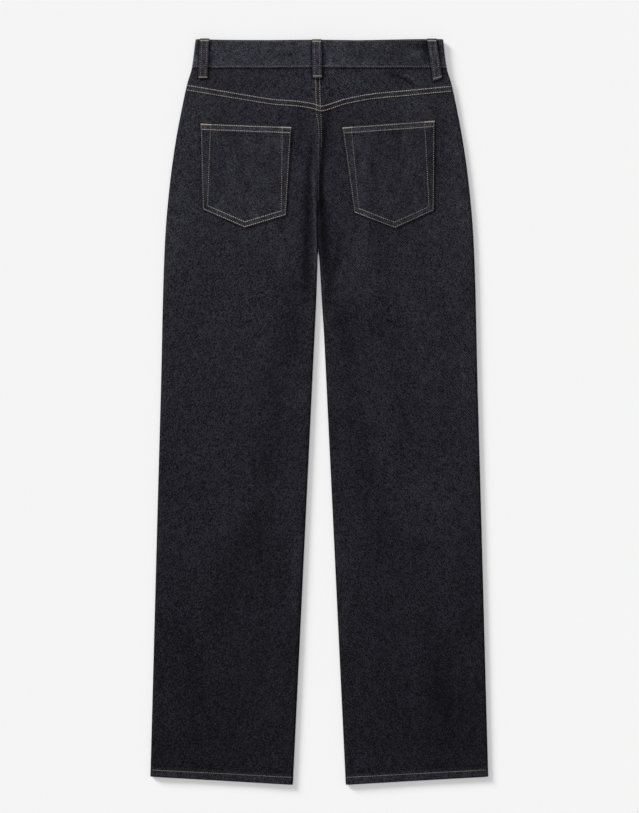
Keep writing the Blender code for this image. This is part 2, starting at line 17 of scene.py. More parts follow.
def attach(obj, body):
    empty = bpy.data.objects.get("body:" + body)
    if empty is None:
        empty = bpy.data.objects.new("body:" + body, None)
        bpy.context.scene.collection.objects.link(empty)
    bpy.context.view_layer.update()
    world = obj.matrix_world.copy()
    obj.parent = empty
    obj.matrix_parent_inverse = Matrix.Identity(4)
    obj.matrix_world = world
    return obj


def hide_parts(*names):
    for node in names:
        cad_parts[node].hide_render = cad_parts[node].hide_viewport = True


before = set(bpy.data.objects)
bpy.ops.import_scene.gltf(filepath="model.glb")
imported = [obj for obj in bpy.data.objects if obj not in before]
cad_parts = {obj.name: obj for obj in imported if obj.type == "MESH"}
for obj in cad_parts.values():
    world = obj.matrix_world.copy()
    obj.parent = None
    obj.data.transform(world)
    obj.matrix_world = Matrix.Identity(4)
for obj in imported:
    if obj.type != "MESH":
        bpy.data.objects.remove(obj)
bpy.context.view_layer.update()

MM = 0.001
LEFT, RIGHT = -1, 1
SIDES = (("left", LEFT), ("right", RIGHT))
UP, DOWN = 1, -1

# ---------------------------------------------------------------------------------------------
# Sizes of the solids, with finer gaps between the shells
# ---------------------------------------------------------------------------------------------

CLOTH = 1.2 * MM
SEAM_GAP = 0.1 * MM
SOLID_GAP = 0.3 * MM
LAID_CLEARANCE = 0.15 * MM

HALF_LENGTH = 529.3 * MM
LEG_TOP = 6.0 * MM
SIDE_SEAM_HEIGHT = 3.0 * MM
EDGE_RADIUS = 1.5 * MM
LEG_SAG = 0.7 * MM
SAG_SHARE = 0.3
SAG_FADE_START, SAG_FADE_END = 330 * MM, 430 * MM
SWELL_START, SWELL_END = 395 * MM, 486 * MM
FRONT_SWELL_START, FRONT_SWELL_END = 375 * MM, 470 * MM

# Half width of the jeans at each height, both in millimetres
OUTLINE = (
    (-530.1, 240.2), (-409, 236.9), (-267, 233.1), (-125, 229.3), (45, 224.6), (159, 222.1),
    (216, 220.3), (261, 218.0), (307, 214.0), (352, 208.7), (397, 201.7), (443, 192.6),
    (466, 187.4), (488, 180.9), (529.3, 175.7),
)

CROTCH_Y = 229 * MM
BACK_TURN_LENGTH = 130 * MM
FRONT_TURN_LENGTH = 40 * MM
# Half of the space between the legs at each height, both in millimetres
LEG_SPACE = (
    (-529.3, 37.6), (73, 8.55), (115.6, 6.4), (144, 4.75), (165, 3.7), (181, 3.0), (200, 2.1),
    (214, 1.5), (224, 0.8), (229, 0.0),
)
# Sideways place of the middle of that space, then of the centre back seam, or of the centre front
# seam and the fly's edge, in millimetres
CENTRE_BACK = (
    (110, 0.0), (165, -0.5), (208, -1.0), (229, -1.5), (247, -2.6), (277, -2.4), (308, -0.6),
    (336, 0.9), (369, 3.4), (414, 4.2), (430, 3.6), (488, 2.0),
)
CENTRE_FRONT = (
    (110, 0.0), (165, -0.5), (208, -1.0), (229, -1.5), (270, 0.0), (325, 0.5), (350, 5.0),
    (488, 5.0),
)

HEM_INNER_X = 37.6 * MM
HEM_SLOPE = 0.0574
HEM_DEPTH = 11.2 * MM
HEM_STEP = 1.5 * MM
HEM_EXTRA = 1.0 * MM
HEM_FADE_START, HEM_FADE_END = 4 * MM, 10 * MM

# Height of the yoke's lower edge across the back, both in millimetres
YOKE_EDGE = (
    (-190, 455.6), (-145, 448.0), (-100, 440.5), (-66, 435.2), (-31, 432.4), (-8, 428.6),
    (3, 425.4), (20, 430.0), (35, 435.0), (72, 442.4), (124, 447.5), (190, 454.0),
)
FELL_WIDTH = 8.6 * MM
FELL_STEP = 0.9 * MM
YOKE_FELL_RISE = 0.6 * MM
CENTRE_FELL_RISE = 0.4 * MM
EDGE_STITCH = 1.4 * MM
TWIN_SPACING = 6.6 * MM
CENTRE_STITCH = 1.2 * MM
CENTRE_TWIN_SPACING = 6.0 * MM
HEM_STITCH = 10.7 * MM
HEM_STITCH_SLOPE = 0.004
BAND_STITCH = 2.1 * MM
FLY_LINE_X = -33 * MM
FLY_LINE_TOP, FLY_BEND, FLY_BEND_HEIGHT = 474 * MM, 372 * MM, 44 * MM
FLY_LINE_END_X = 4 * MM
SHARP_ANGLE = math.radians(55)

WAIST_SEAM = 488.0 * MM
# How far the waistband's upper edge lies below the highest point, across the back, in millimetres
BAND_TOP_DIP = (
    (-176, 0.5), (-150, 1.1), (-130, 1.5), (-60, 1.9), (0, 1.9), (40, 2.2), (54, 2.2), (80, 1.6),
    (108, 1.0), (137, 0.5), (176, 0.5),
)
FRONT_DIP = 10 * MM
BAND_CLOTH = 2.4 * MM
BAND_HOLLOW = 0.9 * MM
BAND_PROUD = 0.6 * MM
BAND_HEIGHT = 41.3 * MM
BAND_OUTER_END = 20 * MM
BAND_INNER_END = -18 * MM
OVERLAP_ROOM = 2.3 * MM
OVERLAP_FLAT, OVERLAP_REACH = 24 * MM, 84 * MM
INNER_END_RAMP = 24 * MM
BUTTON_HEIGHT = 2.2 * MM
BUTTON_ROOM_WIDTH = 45 * MM

# Belt loops: sideways place at top and bottom, then height of both ends, in millimetres, and the
# slope of the back loops' lower ends. The left one's lower end is 1 mm nearer the middle than its
# solid's.
LOOP_WIDTH = 13 * MM
BACK_LOOP_CLOTH = 1.8 * MM
FRONT_LOOP_CLOTH = 1.2 * MM
LOOP_EASE = 1.3 * MM
BACK_LOOPS = (
    ("left", -162.4, -165.0, 529.3, 473.2, 0.0),
    ("centre", -3.6, -2.6, 527.6, 473.0, 0.0),
    ("right", 159.3, 168.0, 529.2, 471.4, 0.33),
)
FRONT_LOOPS = (("left", -95.0, -95.0, 521.0, 466.0), ("right", 95.0, 95.0, 521.0, 466.0))

SCOOP_START = 107 * MM
SCOOP_DEPTH = 75 * MM
FACING_OVERLAP = 10 * MM
FACING_TUCK_START, FACING_TUCK_END = 28 * MM, 44 * MM
FACING_RISE_START, FACING_RISE_END = 12 * MM, 28 * MM
FACING_LEVEL, FACING_SINK = 2 * MM, 12 * MM
FACING_RISE = CLOTH + 0.5 * MM
FRONT_RECESS = 0.6 * MM
FLY_BULK = 0.6 * MM
FLY_BULK_WIDTH = 60 * MM

# Back pockets: corners in millimetres, side edges from bottom to top
BACK_POCKETS = {
    "left": {"outer": ((-165.5, 287.0), (-168.5, 409.0)), "inner": ((-47, 278.8), (-39.4, 404.2)),
             "tip": (-106.0, 261.1)},
    "right": {"outer": ((162.9, 285.6), (163.9, 413.2)), "inner": ((49.6, 282.4), (32.6, 403.6)),
              "tip": (107.0, 260.3)},
}
POCKET_HEM_DEPTH = 10 * MM
POCKET_HEM_RISE = 0.7 * MM
POCKET_FOLD_WIDTH = 13 * MM
POCKET_FOLD_RISE = 0.3 * MM
SOFT_EDGE = 0.7 * MM
SOFT_FALL = 0.75 * SOFT_EDGE

# Small waves of the whole back: height, length and seed of the noise
WAVES = ((0.35 * MM, 55 * MM, 1.0), (0.14 * MM, 17 * MM, 4.0))
# Ripples beside seams: length along the seam, how far they drift and how long each drift is
RIPPLE_LENGTH, RIPPLE_DRIFT, DRIFT_LENGTH = 1.25 * MM, 2.2, 14 * MM

# Soft folds of the back: name, rise, spread and points along them, all in millimetres
FOLDS = (
    ("beside_seat_seam_left", -1.6, 5,
     ((-11, 392), (-14.5, 330), (-14.5, 280), (-16, 243), (-16, 175))),
    ("seat_ridge_left", 0.9, 3.5, ((-6.5, 400), (-9, 329), (-8, 272), (-6.5, 243), (-8, 200))),
    ("beside_seat_seam_right", -1.9, 6,
     ((8, 420), (9, 385), (6.5, 329), (7, 272), (7, 243), (13, 190))),
    ("right_of_crotch", -0.9, 6, ((14, 235), (17, 205), (17, 165))),
    ("seat_ridge_right", 0.8, 8, ((63, 262), (63, 203))),
    ("under_left_pocket", -0.7, 8, ((-44, 276), (-62, 246))),
    ("left_thigh", -1.3, 22, ((-29, 172), (-51, 84), (-64, -26), (-75, -91), (-96, -163))),
    ("left_shin", -1.3, 22, ((-80, -120), (-122, -236), (-132, -273), (-165, -355))),
    ("right_thigh", -0.8, 18, ((48, 20), (53, -18), (67, -88), (80, -155))),
    ("right_outer_thigh", -0.8, 16, ((90, 185), (114, 10), (128, -55), (142, -110))),
    ("right_shin", -0.9, 28, ((148, -285), (161, -345), (170, -400))),
    ("left_hem_arch", -0.9, 10, ((-222, -486), (-162, -462), (-130, -464))),
    ("right_hem_arch", -0.8, 10, ((222, -486), (164, -464), (132, -468))),
    ("yoke_crease", -0.5, 6, ((110, 484), (146, 465))),
)
FOLD_FADE_IN, FOLD_FADE_OUT = 0.3, 0.7

# Painted shade in the back's troughs and painted highlights on its ridges, with some uneven tone of
# the cloth: name, share of the colour added, spread and points in millimetres
SHADE_AND_WEAR = (
    ("left_trough_high", -0.58, 4.0,
     ((-9.5, 400), (-12, 371), (-14.2, 345), (-14.2, 318), (-14.6, 285))),
    ("left_trough_low", -0.58, 10,
     ((-14.5, 350), (-15, 300), (-16.4, 265), (-17.4, 229), (-18, 130))),
    ("seat_ridge", 0.95, 2.4,
     ((-9.5, 372), (-8.2, 329), (-6.8, 307), (-6.2, 275), (-4.8, 240), (-6, 160))),
    ("seat_ridge_low", 0.55, 2.6, ((-6, 300), (-4.8, 258), (-4.2, 235), (-4.6, 190))),
    ("beside_seam_left", -0.35, 2.5, ((-3.5, 322), (-3.8, 296))),
    ("right_of_seam", -0.34, 9, ((12, 455), (12, 385), (11, 340))),
    ("right_valley_high", -0.55, 4.2, ((9.5, 430), (6.9, 392), (5.8, 371), (5.2, 350), (4, 335))),
    ("right_valley_middle", -0.70, 3.8, ((5.2, 365), (4.6, 350), (2.4, 329), (2.7, 307), (3.5, 275))),
    ("right_valley_low", -0.68, 9, ((3.2, 330), (4, 300), (6.2, 265), (8.5, 225), (9.5, 175))),
    ("right_of_crotch", -0.42, 6.5,
     ((28, 265), (24.5, 215), (18, 196), (12.5, 172), (9, 150), (8, 130))),
    ("by_crotch_pale", 0.45, 4, ((19, 241), (17, 217))),
    ("left_of_seam", -0.25, 13, ((-26, 450), (-27, 400), (-29, 340))),
    ("left_hip", 0.28, 15, ((-180, 475), (-186, 410), (-199, 310), (-211, 230), (-217, 150))),
    ("right_hip", -0.10, 65, ((75, 530), (80, 300), (75, 60))),
    ("right_hip_edge", 0.18, 14, ((182, 475), (188, 400), (200, 310), (208, 200))),
    ("under_right_pocket", -0.18, 9, ((60, 272), (86, 256), (108, 247))),
    ("left_inner_thigh", -0.24, 19, ((-36, 220), (-36, 150), (-40, 50))),
    ("right_inner_thigh", -0.25, 15, ((32, 190), (42, 80), (52, -50))),
    ("left_knee_inner", -0.20, 20, ((-70, -40), (-85, -180), (-95, -320))),
    ("left_calf_edge", 0.28, 9, ((-30, -150), (-33, -235), (-36, -310))),
    ("right_calf_edge", 0.28, 10, ((30, -180), (35, -265), (42, -350))),
    ("right_knee_edge", -0.14, 10, ((14, 10), (18, -75), (26, -150))),
    ("right_upper_thigh", -0.10, 24, ((42, 190), (48, 120), (72, 40), (84, -20))),
    ("left_calf_outer", -0.13, 16, ((-194, -270), (-184, -355), (-180, -440))),
    ("right_hem_outer", -0.12, 22, ((184, -330), (186, -440), (186, -600))),
    ("yoke_right_inner", 0.14, 11, ((14, 470), (44, 465), (74, 460))),
    ("yoke_left_inner", -0.10, 9, ((-20, 500), (-20, 465), (-20, 430))),
    ("right_knee", -0.15, 26, ((75, -50), (75, -130), (70, -250))),
    ("left_hem_inner", 0.13, 30, ((-62, -340), (-62, -440), (-62, -640))),
    ("right_hem_inner", 0.15, 30, ((65, -340), (62, -440), (62, -640))),
    ("right_shin", -0.18, 22, ((148, -285), (163, -370), (165, -450))),
    ("yoke_crease", -0.58, 3.2,
     ((84, 484), (100, 479.5), (113, 476), (125, 470.5), (134, 465), (142, 459))),
    ("yoke_crease_pale", 0.55, 2.6, ((117, 480), (127, 475.5), (133, 470.5), (143, 463))),
)
# The same for folds above, along their own points: painted shade in troughs, a painted highlight on a
# ridge
FOLD_SHADE_AND_WEAR = (
    ("seat_ridge_right", 0.14, 8), ("under_left_pocket", -0.20, 7), ("left_thigh", -0.20, 20),
    ("left_shin", -0.14, 22), ("right_thigh", -0.16, 18), ("right_outer_thigh", -0.16, 16),
    ("left_hem_arch", -0.12, 10), ("right_hem_arch", -0.12, 10),
)
FOLD_LINES = {name: points for name, _rise, _spread, points in FOLDS}
SHADE_AND_WEAR += tuple((*row, FOLD_LINES[row[0]]) for row in FOLD_SHADE_AND_WEAR)


def eased(value, start, end):
    """0 before the start, 1 past the end and an S-curve between."""
    share = min(max((value - start) / (end - start), 0.0), 1.0)
    return share * share * (3 - 2 * share)


def within(value, start, full, ebb, end):
    """0 outside the start and the end, 1 from full to ebb and S-curves between."""
    return eased(value, start, full) * (1 - eased(value, ebb, end))


def bell(distance, width):
    """1 at no distance, falling off smoothly over the width."""
    return math.exp(-((distance / width) ** 2))


def between(start, end, share):
    """A point on the straight line from one point to another."""
    return tuple(a + (b - a) * share for a, b in zip(start, end))


def spaced(start, end, count):
    """Values from the start to the end, both among them, with even steps."""
    return [start + (end - start) * place / count for place in range(count + 1)]


def beside_line(x, y, start, end):
    """A point's distance from a straight line, its share along it and the line's length."""
    (x0, y0), (x1, y1) = start, end
    length = math.dist(start, end)
    share = ((x - x0) * (x1 - x0) + (y - y0) * (y1 - y0)) / length**2
    share = min(max(share, 0.0), 1.0)
    return math.hypot(x - x0 - share * (x1 - x0), y - y0 - share * (y1 - y0)), share, length


def curve_value(table, at):
    """Smooth curve through a table of millimetres, level beyond its ends."""
    at = at / MM
    if at <= table[0][0]:
        return table[0][1] * MM
    if at >= table[-1][0]:
        return table[-1][1] * MM
    after = bisect_right([row[0] for row in table], at)

    def slope(row):
        low, high = max(row - 1, 0), min(row + 1, len(table) - 1)
        return (table[high][1] - table[low][1]) / (table[high][0] - table[low][0])

    (x0, y0), (x1, y1) = table[after - 1], table[after]
    step = x1 - x0
    share = (at - x0) / step
    bent = share * share * (3 - 2 * share)
    value = y0 * (1 - bent) + y1 * bent
    value += slope(after - 1) * step * share * (1 - share) ** 2
    value -= slope(after) * step * share * share * (1 - share)
    return value * MM


def half_width(y):
    return curve_value(OUTLINE, y)


def inner_edge(table, side, y):
    """How far out from the middle a panel's inner edge is, at one height."""
    return max(curve_value(LEG_SPACE, y), SEAM_GAP / 2) + side * curve_value(table, y)


def hem_y(x):
    return -HALF_LENGTH + HEM_SLOPE * (abs(x) - HEM_INNER_X)


def yoke_edge(x):
    return curve_value(YOKE_EDGE, x)


def along_fold(x, y, spread, points):
    """How much of a soft fold is felt at a point: all on its line, less away from it and at its ends."""
    x, y, reach = x / MM, y / MM, 3 * spread
    for at, places in zip((x, y), zip(*points)):
        if not min(places) - reach < at < max(places) + reach:
            return 0.0
    best, place, run = None, 0.0, 0.0
    for start, end in zip(points, points[1:]):
        away, share, length = beside_line(x, y, start, end)
        if best is None or away < best:
            best, place = away, run + share * length
        run += length
    return within(place / run, 0.0, FOLD_FADE_IN, FOLD_FADE_OUT, 1.0) * bell(best, spread)


def fold_height(x, y, folds=FOLDS):
    """Height that soft folds add at a point."""
    return sum(rise * MM * along_fold(x, y, spread, points) for _name, rise, spread, points in folds)


def shade_and_wear(x, y, places=SHADE_AND_WEAR):
    """Share of its colour left at a point: painted shade and highlights along folds, and uneven tone."""
    kept = 1.0
    for _name, share, spread, points in places:
        kept *= 1 + share * along_fold(x, y, spread, points)
    return kept


def unevenness(x, y, size, seed):
    """A smooth uneven value from -1 to 1, with features of about the given size."""
    return noise.noise(Vector((x / size, y / size, seed)))


def waist_lift(x):
    """Height of the waistband's front above the surface: loops and button lie under it."""
    button_room = BUTTON_HEIGHT - FRONT_LOOP_CLOTH
    return FRONT_LOOP_CLOTH + SOLID_GAP + button_room * bell(x, BUTTON_ROOM_WIDTH)


def band_back_top(x):
    """Outer face of the waistband's back, over its overlapping ends."""
    ends = OVERLAP_ROOM * (1 - eased(abs(x), OVERLAP_FLAT, OVERLAP_REACH))
    return waist_lift(x) + 2 * BAND_CLOTH + BAND_HOLLOW + ends


def side_height(y):
    """Height of the side seam and the inseam above the surface."""
    at_waist = (waist_lift(half_width(y)) + band_back_top(half_width(y))) / 2
    return SIDE_SEAM_HEIGHT + (at_waist - SIDE_SEAM_HEIGHT) * eased(y, SWELL_START, SWELL_END)


def back_height(x, y):
    """Outer face of the back, away from its edges."""
    swell = (band_back_top(x) - BAND_PROUD - LEG_TOP) * eased(y, SWELL_START, SWELL_END)
    middle = (half_width(y) + curve_value(LEG_SPACE, y)) / 2
    sag = LEG_SAG * bell(abs(x) - middle, SAG_SHARE * half_width(y))
    sag *= 1 - eased(y, SAG_FADE_START, SAG_FADE_END)
    uneven = sum(height * unevenness(x, y, length, seed) for height, length, seed in WAVES)
    return LEG_TOP + swell - sag + fold_height(x, y) + uneven


def front_lift(x, y):
    """Outer face of the front above the surface: flat on it but for the waist."""
    recess = FRONT_RECESS + FLY_BULK * bell(x, FLY_BULK_WIDTH)
    return (waist_lift(x) + recess) * eased(y, FRONT_SWELL_START, FRONT_SWELL_END)


def rolled(distance, drop, turn):
    """Fall and outward normal of an edge that rolls over by a share of a quarter turn."""
    if turn <= 0:
        return 0.0, 0.0, 1.0
    width = drop * drop / EDGE_RADIUS
    first = (1 - turn) * math.pi / 2
    if distance >= width * math.cos(first):
        return 0.0, 0.0, 1.0
    angle = math.acos(min(math.cos(first) - distance / width, 1.0))
    lean, up = drop * math.cos(angle), width * math.sin(angle)
    length = math.hypot(lean, up)
    return drop * (1 - math.sin(angle)), lean / length, up / length


def soft_edge(distance):
    """Fall of a folded edge within its small rounding."""
    if distance >= SOFT_EDGE:
        return 0.0
    share = 1 - max(distance, 0.0) / SOFT_EDGE
    return SOFT_FALL * (1 - math.sqrt(1 - share * share))


def stitch_height(x):
    """Height of the hem's sewing above its edge."""
    return HEM_STITCH - HEM_STITCH_SLOPE * (abs(x) - HEM_INNER_X)


def hem_thickness(x, y, from_inner, from_side):
    """Extra cloth turned up inside the hem, clear of the rolled edges."""
    turned_up = 1 - eased(y - hem_y(x), HEM_DEPTH, HEM_DEPTH + HEM_STEP)
    clear = eased(min(from_inner, from_side), HEM_FADE_START, HEM_FADE_END)
    return HEM_EXTRA * turned_up * clear


def pucker(along, away, peak=0.0, reach=4.5 * MM, depth=0.13 * MM):
    """Small ripples that the sewing draws up beside a seam, deepest at their peak."""
    wave = math.sin(along / RIPPLE_LENGTH + RIPPLE_DRIFT * unevenness(along, 0, DRIFT_LENGTH, 7.0))
    return depth * wave * bell(away - peak, reach)


def groove(away, depth=0.14 * MM, width=0.7 * MM):
    """How deep a line of stitches pulls the cloth in."""
    return depth * bell(away, width)


def centre_turn(y):
    return 1 - eased(y, CROTCH_Y, CROTCH_Y + BACK_TURN_LENGTH)


def back_skin(side, x, y, from_inner, from_side):
    """Height, outward normal and thickness of a back panel or a yoke."""
    top = back_height(x, y)
    drop = top - side_height(y) - SEAM_GAP / 2
    turn = centre_turn(y)
    side_fall, side_lean, side_up = rolled(from_side, drop, 1.0)
    inner_fall, inner_lean, inner_up = rolled(from_inner, drop, turn)
    ridge = 0.0
    if side == LEFT:
        ridge = 1 - eased(from_inner, FELL_WIDTH, FELL_WIDTH + FELL_STEP)
        ridge *= CENTRE_FELL_RISE * (1 - turn)
        ridge -= soft_edge(from_inner) * (1 - turn)
        from_stitch = from_inner - CENTRE_STITCH
        twin = groove(from_stitch) + groove(from_stitch - CENTRE_TWIN_SPACING)
        ridge -= twin * (1 - turn)
    ridge += (1 - turn) * pucker(y, from_inner, peak=4 * MM)
    above_hem = y - hem_y(x)
    above_stitch = above_hem - stitch_height(x)
    ridge += pucker(x, above_stitch, reach=4 * MM, depth=0.2 * MM)
    ridge -= groove(above_stitch) + soft_edge(above_hem)
    lean = side * (side_lean - inner_lean)
    thickness = CLOTH + ridge + hem_thickness(x, y, from_inner, from_side)
    return top - side_fall - inner_fall + ridge, lean, min(side_up, inner_up), thickness


def yoke_skin(side, x, y, from_inner, from_side):
    """A yoke's skin: the back's, with the felled seam raised along its lower edge."""
    z, lean, up, thickness = back_skin(side, x, y, from_inner, from_side)
    above = y - yoke_edge(x)
    felled = 1 - eased(above, FELL_WIDTH, FELL_WIDTH + FELL_STEP)
    clear = eased(from_side, HEM_FADE_START, HEM_FADE_END)
    rise = YOKE_FELL_RISE * felled * clear - soft_edge(above)
    rise += pucker(x, above, peak=4.5 * MM, depth=0.16 * MM)
    rise -= groove(above - EDGE_STITCH) + groove(above - EDGE_STITCH - TWIN_SPACING)
    return z + rise, lean, up, thickness + rise


def front_waist_y(x):
    """Lower edge of the waistband on the front."""
    return WAIST_SEAM - FRONT_DIP * (1 - (x / half_width(WAIST_SEAM)) ** 2)


def mouth_y(x):
    """Edge of the front scoop pockets, level with the waistband nearer the middle."""
    share = (abs(x) - SCOOP_START) / (half_width(WAIST_SEAM - SCOOP_DEPTH) - SCOOP_START)
    return front_waist_y(x) - SCOOP_DEPTH * math.sin(math.pi / 2 * min(max(share, 0.0), 1.0))


def front_skin(side, x, y, from_inner, from_side):
    """Height, outward normal and thickness of a front panel, whose outer face is the lower one."""
    low = front_lift(x, y)
    rise = side_height(y) - SEAM_GAP / 2 - low
    turn = 1 - eased(y, CROTCH_Y, CROTCH_Y + FRONT_TURN_LENGTH)
    side_rise, side_lean, side_up = rolled(from_side, rise, 1.0)
    inner_rise, inner_lean, inner_up = rolled(from_inner, rise, turn)
    lean = side * (side_lean - inner_lean)
    thickness = CLOTH + hem_thickness(x, y, from_inner, from_side)
    return low + side_rise + inner_rise, lean, -min(side_up, inner_up), thickness


def facing_skin(side, x, y, _from_inner, from_side):
    """The cloth behind a scoop pocket's mouth, tucked inside the front panel."""
    near_mouth = 1 - eased(y - mouth_y(x), FACING_LEVEL, FACING_SINK)
    inside = near_mouth * eased(from_side, FACING_RISE_START, FACING_RISE_END)
    low = front_lift(x, y) + FACING_RISE * inside
    rise = side_height(y) - SEAM_GAP / 2 - low
    side_rise, side_lean, side_up = rolled(from_side, rise, 1.0)
    return low + side_rise, side * side_lean, -side_up, CLOTH


def back_face(x, y):
    """Outer face of the finished back at a point, yokes and felled seams included."""
    side = RIGHT if x > curve_value(CENTRE_BACK, y) else LEFT
    skin = yoke_skin if y > yoke_edge(x) else back_skin
    from_inner = max(side * x - inner_edge(CENTRE_BACK, side, y), 0.0)
    return skin(side, x, y, from_inner, max(half_width(y) - abs(x), 0.0))[0]


def front_face(x, y):
    """Outer face of the front at a point, above the surface that it lies on."""
    side = RIGHT if x > curve_value(CENTRE_FRONT, y) else LEFT
    from_inner = max(side * x - inner_edge(CENTRE_FRONT, side, y), 0.0)
    return front_skin(side, x, y, from_inner, max(half_width(y) - abs(x), 0.0))[0]


# ---------------------------------------------------------------------------------------------
# Finishes
# ---------------------------------------------------------------------------------------------

ENDS_PER_METRE = 2500
PICKS_PER_METRE = 1700
# How many to a metre, each way of the cloth
FLECKS = (1100, 430)
SPECKS = (1080, 1020)
SLUBS = (900, 60)
MOTTLES = (240, 200)
# How far the thread's plies turn, in radians to a metre
PLY_TWIST = 9000
GRAIN_TILT = math.radians(50)
RIB_SPACING = 2.5 * MM
YARN_RELIEF, PLY_RELIEF, STAIN_RELIEF = 0.14 * MM, 0.08 * MM, 0.03 * MM


class Wire:
    """A number that varies over a surface. Arithmetic on it adds Math nodes."""

    def __init__(self, finish, socket):
        self.finish, self.socket = finish, socket

    def maths(self, operation, *values):
        inputs = dict(enumerate(values))
        return self.finish.wire("ShaderNodeMath", {"operation": operation}, inputs)

    def __add__(self, other):
        return self.maths("ADD", self, other)

    def __sub__(self, other):
        return self.maths("SUBTRACT", self, other)

    def __rsub__(self, other):
        return self.maths("SUBTRACT", other, self)

    def __mul__(self, other):
        return self.maths("MULTIPLY", self, other)

    def __pow__(self, other):
        return self.maths("POWER", self, other)

    def __lt__(self, other):
        return self.maths("LESS_THAN", self, other)

    __radd__, __rmul__ = __add__, __mul__

    def whole(self):
        return self.maths("FLOOR", self)

    def part(self):
        return self.maths("FRACT", self)

    def sine(self):
        return self.maths("SINE", self)

    def limited(self):
        return self.maths("MINIMUM", self.maths("MAXIMUM", self, 0.0), 1.0)


class Finish:
    """A material in the making: its nodes, and the shader that they feed."""

    def __init__(self, name, constants):
        self.material = bpy.data.materials.new(name)
        self.material.use_nodes = True
        self.tree = self.material.node_tree
        self.shader = self.tree.nodes["Principled BSDF"]
        for socket, value in constants.items():
            self.shader.inputs[socket].default_value = value

    def node(self, kind, settings, inputs):
        made = self.tree.nodes.new(kind)
        for setting, value in settings.items():
            setattr(made, setting, value)
        for socket, value in inputs.items():
            if isinstance(value, Wire):
                self.tree.links.new(value.socket, made.inputs[socket])
            else:
                made.inputs[socket].default_value = value
        return made

    def wire(self, kind, settings, inputs, output=0):
        return Wire(self, self.node(kind, settings, inputs).outputs[output])

    def blend(self, share, first, second):
        """A colour between two others."""
        colours = {0: share, 6: first, 7: second}
        return self.wire("ShaderNodeMix", {"data_type": "RGBA"}, colours, output=2)

    def noise(self, x, y, detail=1.0, seed=0.0):
        """Uneven value about 0.5, one feature to each unit of x and y."""
        place = self.wire("ShaderNodeCombineXYZ", {}, {0: x, 1: y, 2: seed})
        sockets = {"Vector": place, "Scale": 1.0, "Detail": detail, "Roughness": 0.6}
        return self.wire("ShaderNodeTexNoise", {}, sockets)

    def speckle(self, x, y, seed):
        """A different value from 0 to 1 for each unit of x and y."""
        place = self.wire("ShaderNodeCombineXYZ", {}, {0: x.whole(), 1: y.whole(), 2: seed})
        return self.wire("ShaderNodeTexWhiteNoise", {}, {0: place})

    def grain(self):
        """The two axes of the piece's grain map."""
        grain_map = self.wire("ShaderNodeUVMap", {"uv_map": "grain"}, {})
        axes = self.node("ShaderNodeSeparateXYZ", {}, {0: grain_map})
        return Wire(self, axes.outputs[0]), Wire(self, axes.outputs[1])

    def feed(self, socket, wire):
        self.tree.links.new(wire.socket, self.shader.inputs[socket])

    def feed_faded_and_shaded(self, colour):
        """The finish's colour, scaled at each point by the piece's own fading and painted shade."""
        faded = self.wire("ShaderNodeAttribute", {"attribute_name": "fading_and_shade"}, {}, output=2)
        inputs = {0: colour, "Scale": faded}
        self.feed("Base Color", self.wire("ShaderNodeVectorMath", {"operation": "SCALE"}, inputs))

    def feed_bump(self, height, distance):
        sockets = {"Height": height, "Distance": distance, "Strength": 1.0}
        self.feed("Normal", self.wire("ShaderNodeBump", {}, sockets))


def coloured(rgb, factor=1.0):
    return (*[value * factor for value in rgb], 1.0)


def denim(name, grain=1.0, twill=1.0):
    """Three-over-one twill in black yarn."""
    cloth = Finish(name, {"Specular IOR Level": 0.035})
    u, v = cloth.grain()
    ends, picks = u * ENDS_PER_METRE, v * PICKS_PER_METRE

    weft_shows = ((ends.whole() + picks.whole()) * 0.25).part() < 0.2
    warp_round = 1 - (ends.part() * 2 - 1) ** 2
    weft_round = 1 - (picks.part() * 2 - 1) ** 2
    weave = warp_round * (1 - weft_shows) + weft_round * weft_shows * 0.45

    across = u * math.sin(GRAIN_TILT) + v * math.cos(GRAIN_TILT)
    along = u * math.cos(GRAIN_TILT) - v * math.sin(GRAIN_TILT)
    wander = cloth.noise(u * 150, v * 150, detail=1.0, seed=2.0) * 2.5
    fleck = cloth.speckle(across * FLECKS[0] + wander, along * FLECKS[1], 1.0)
    speck = cloth.speckle(u * SPECKS[0] + wander, v * SPECKS[1] + wander, 6.0)
    slub = cloth.noise(u * SLUBS[0], v * SLUBS[1], detail=1.0, seed=3.0)
    mottle = cloth.noise(u * MOTTLES[0], v * MOTTLES[1], detail=2.0, seed=8.0)
    rib = (across * (math.tau / RIB_SPACING) + wander).sine()

    lightness = (speck - 0.5) * (0.95 * grain) + (fleck - 0.5) * (0.75 * grain)
    lightness = lightness + (slub - 0.5) * 0.3 + (mottle - 0.5) * 0.5 + rib * (0.1 * twill) + 0.36
    lightness = lightness.limited()
    yarn = cloth.blend(lightness, coloured(DARK_YARN), coloured(PALE_YARN))
    cloth.feed_faded_and_shaded(cloth.blend(weft_shows * 0.25, yarn, coloured(PALE_YARN)))
    cloth.feed("Roughness", 0.98 - 0.14 * lightness)
    cloth.feed_bump(weave + 1.2 * slub + 2.0 * mottle + 0.2 * twill * rib, YARN_RELIEF)
    return cloth.material


def thread(name, rgb):
    """Twisted thread, plies running round it with painted shade between; each stitch has its own shade.
    """
    spun = Finish(name, {"Specular IOR Level": 0.1})
    u, v = spun.grain()
    ply = ((u * PLY_TWIST + v * math.tau).sine() * 0.5 + 0.5) ** 0.6
    uneven = spun.noise(u * 350, v * 2, detail=1.0)
    light = (ply * 0.55 + uneven * 0.45).limited()
    spun.feed_faded_and_shaded(spun.blend(light, coloured(rgb, 0.45), coloured(rgb, 1.15)))
    spun.feed("Roughness", 0.85 - 0.15 * ply)
    spun.feed_bump(ply, PLY_RELIEF)
    return spun.material


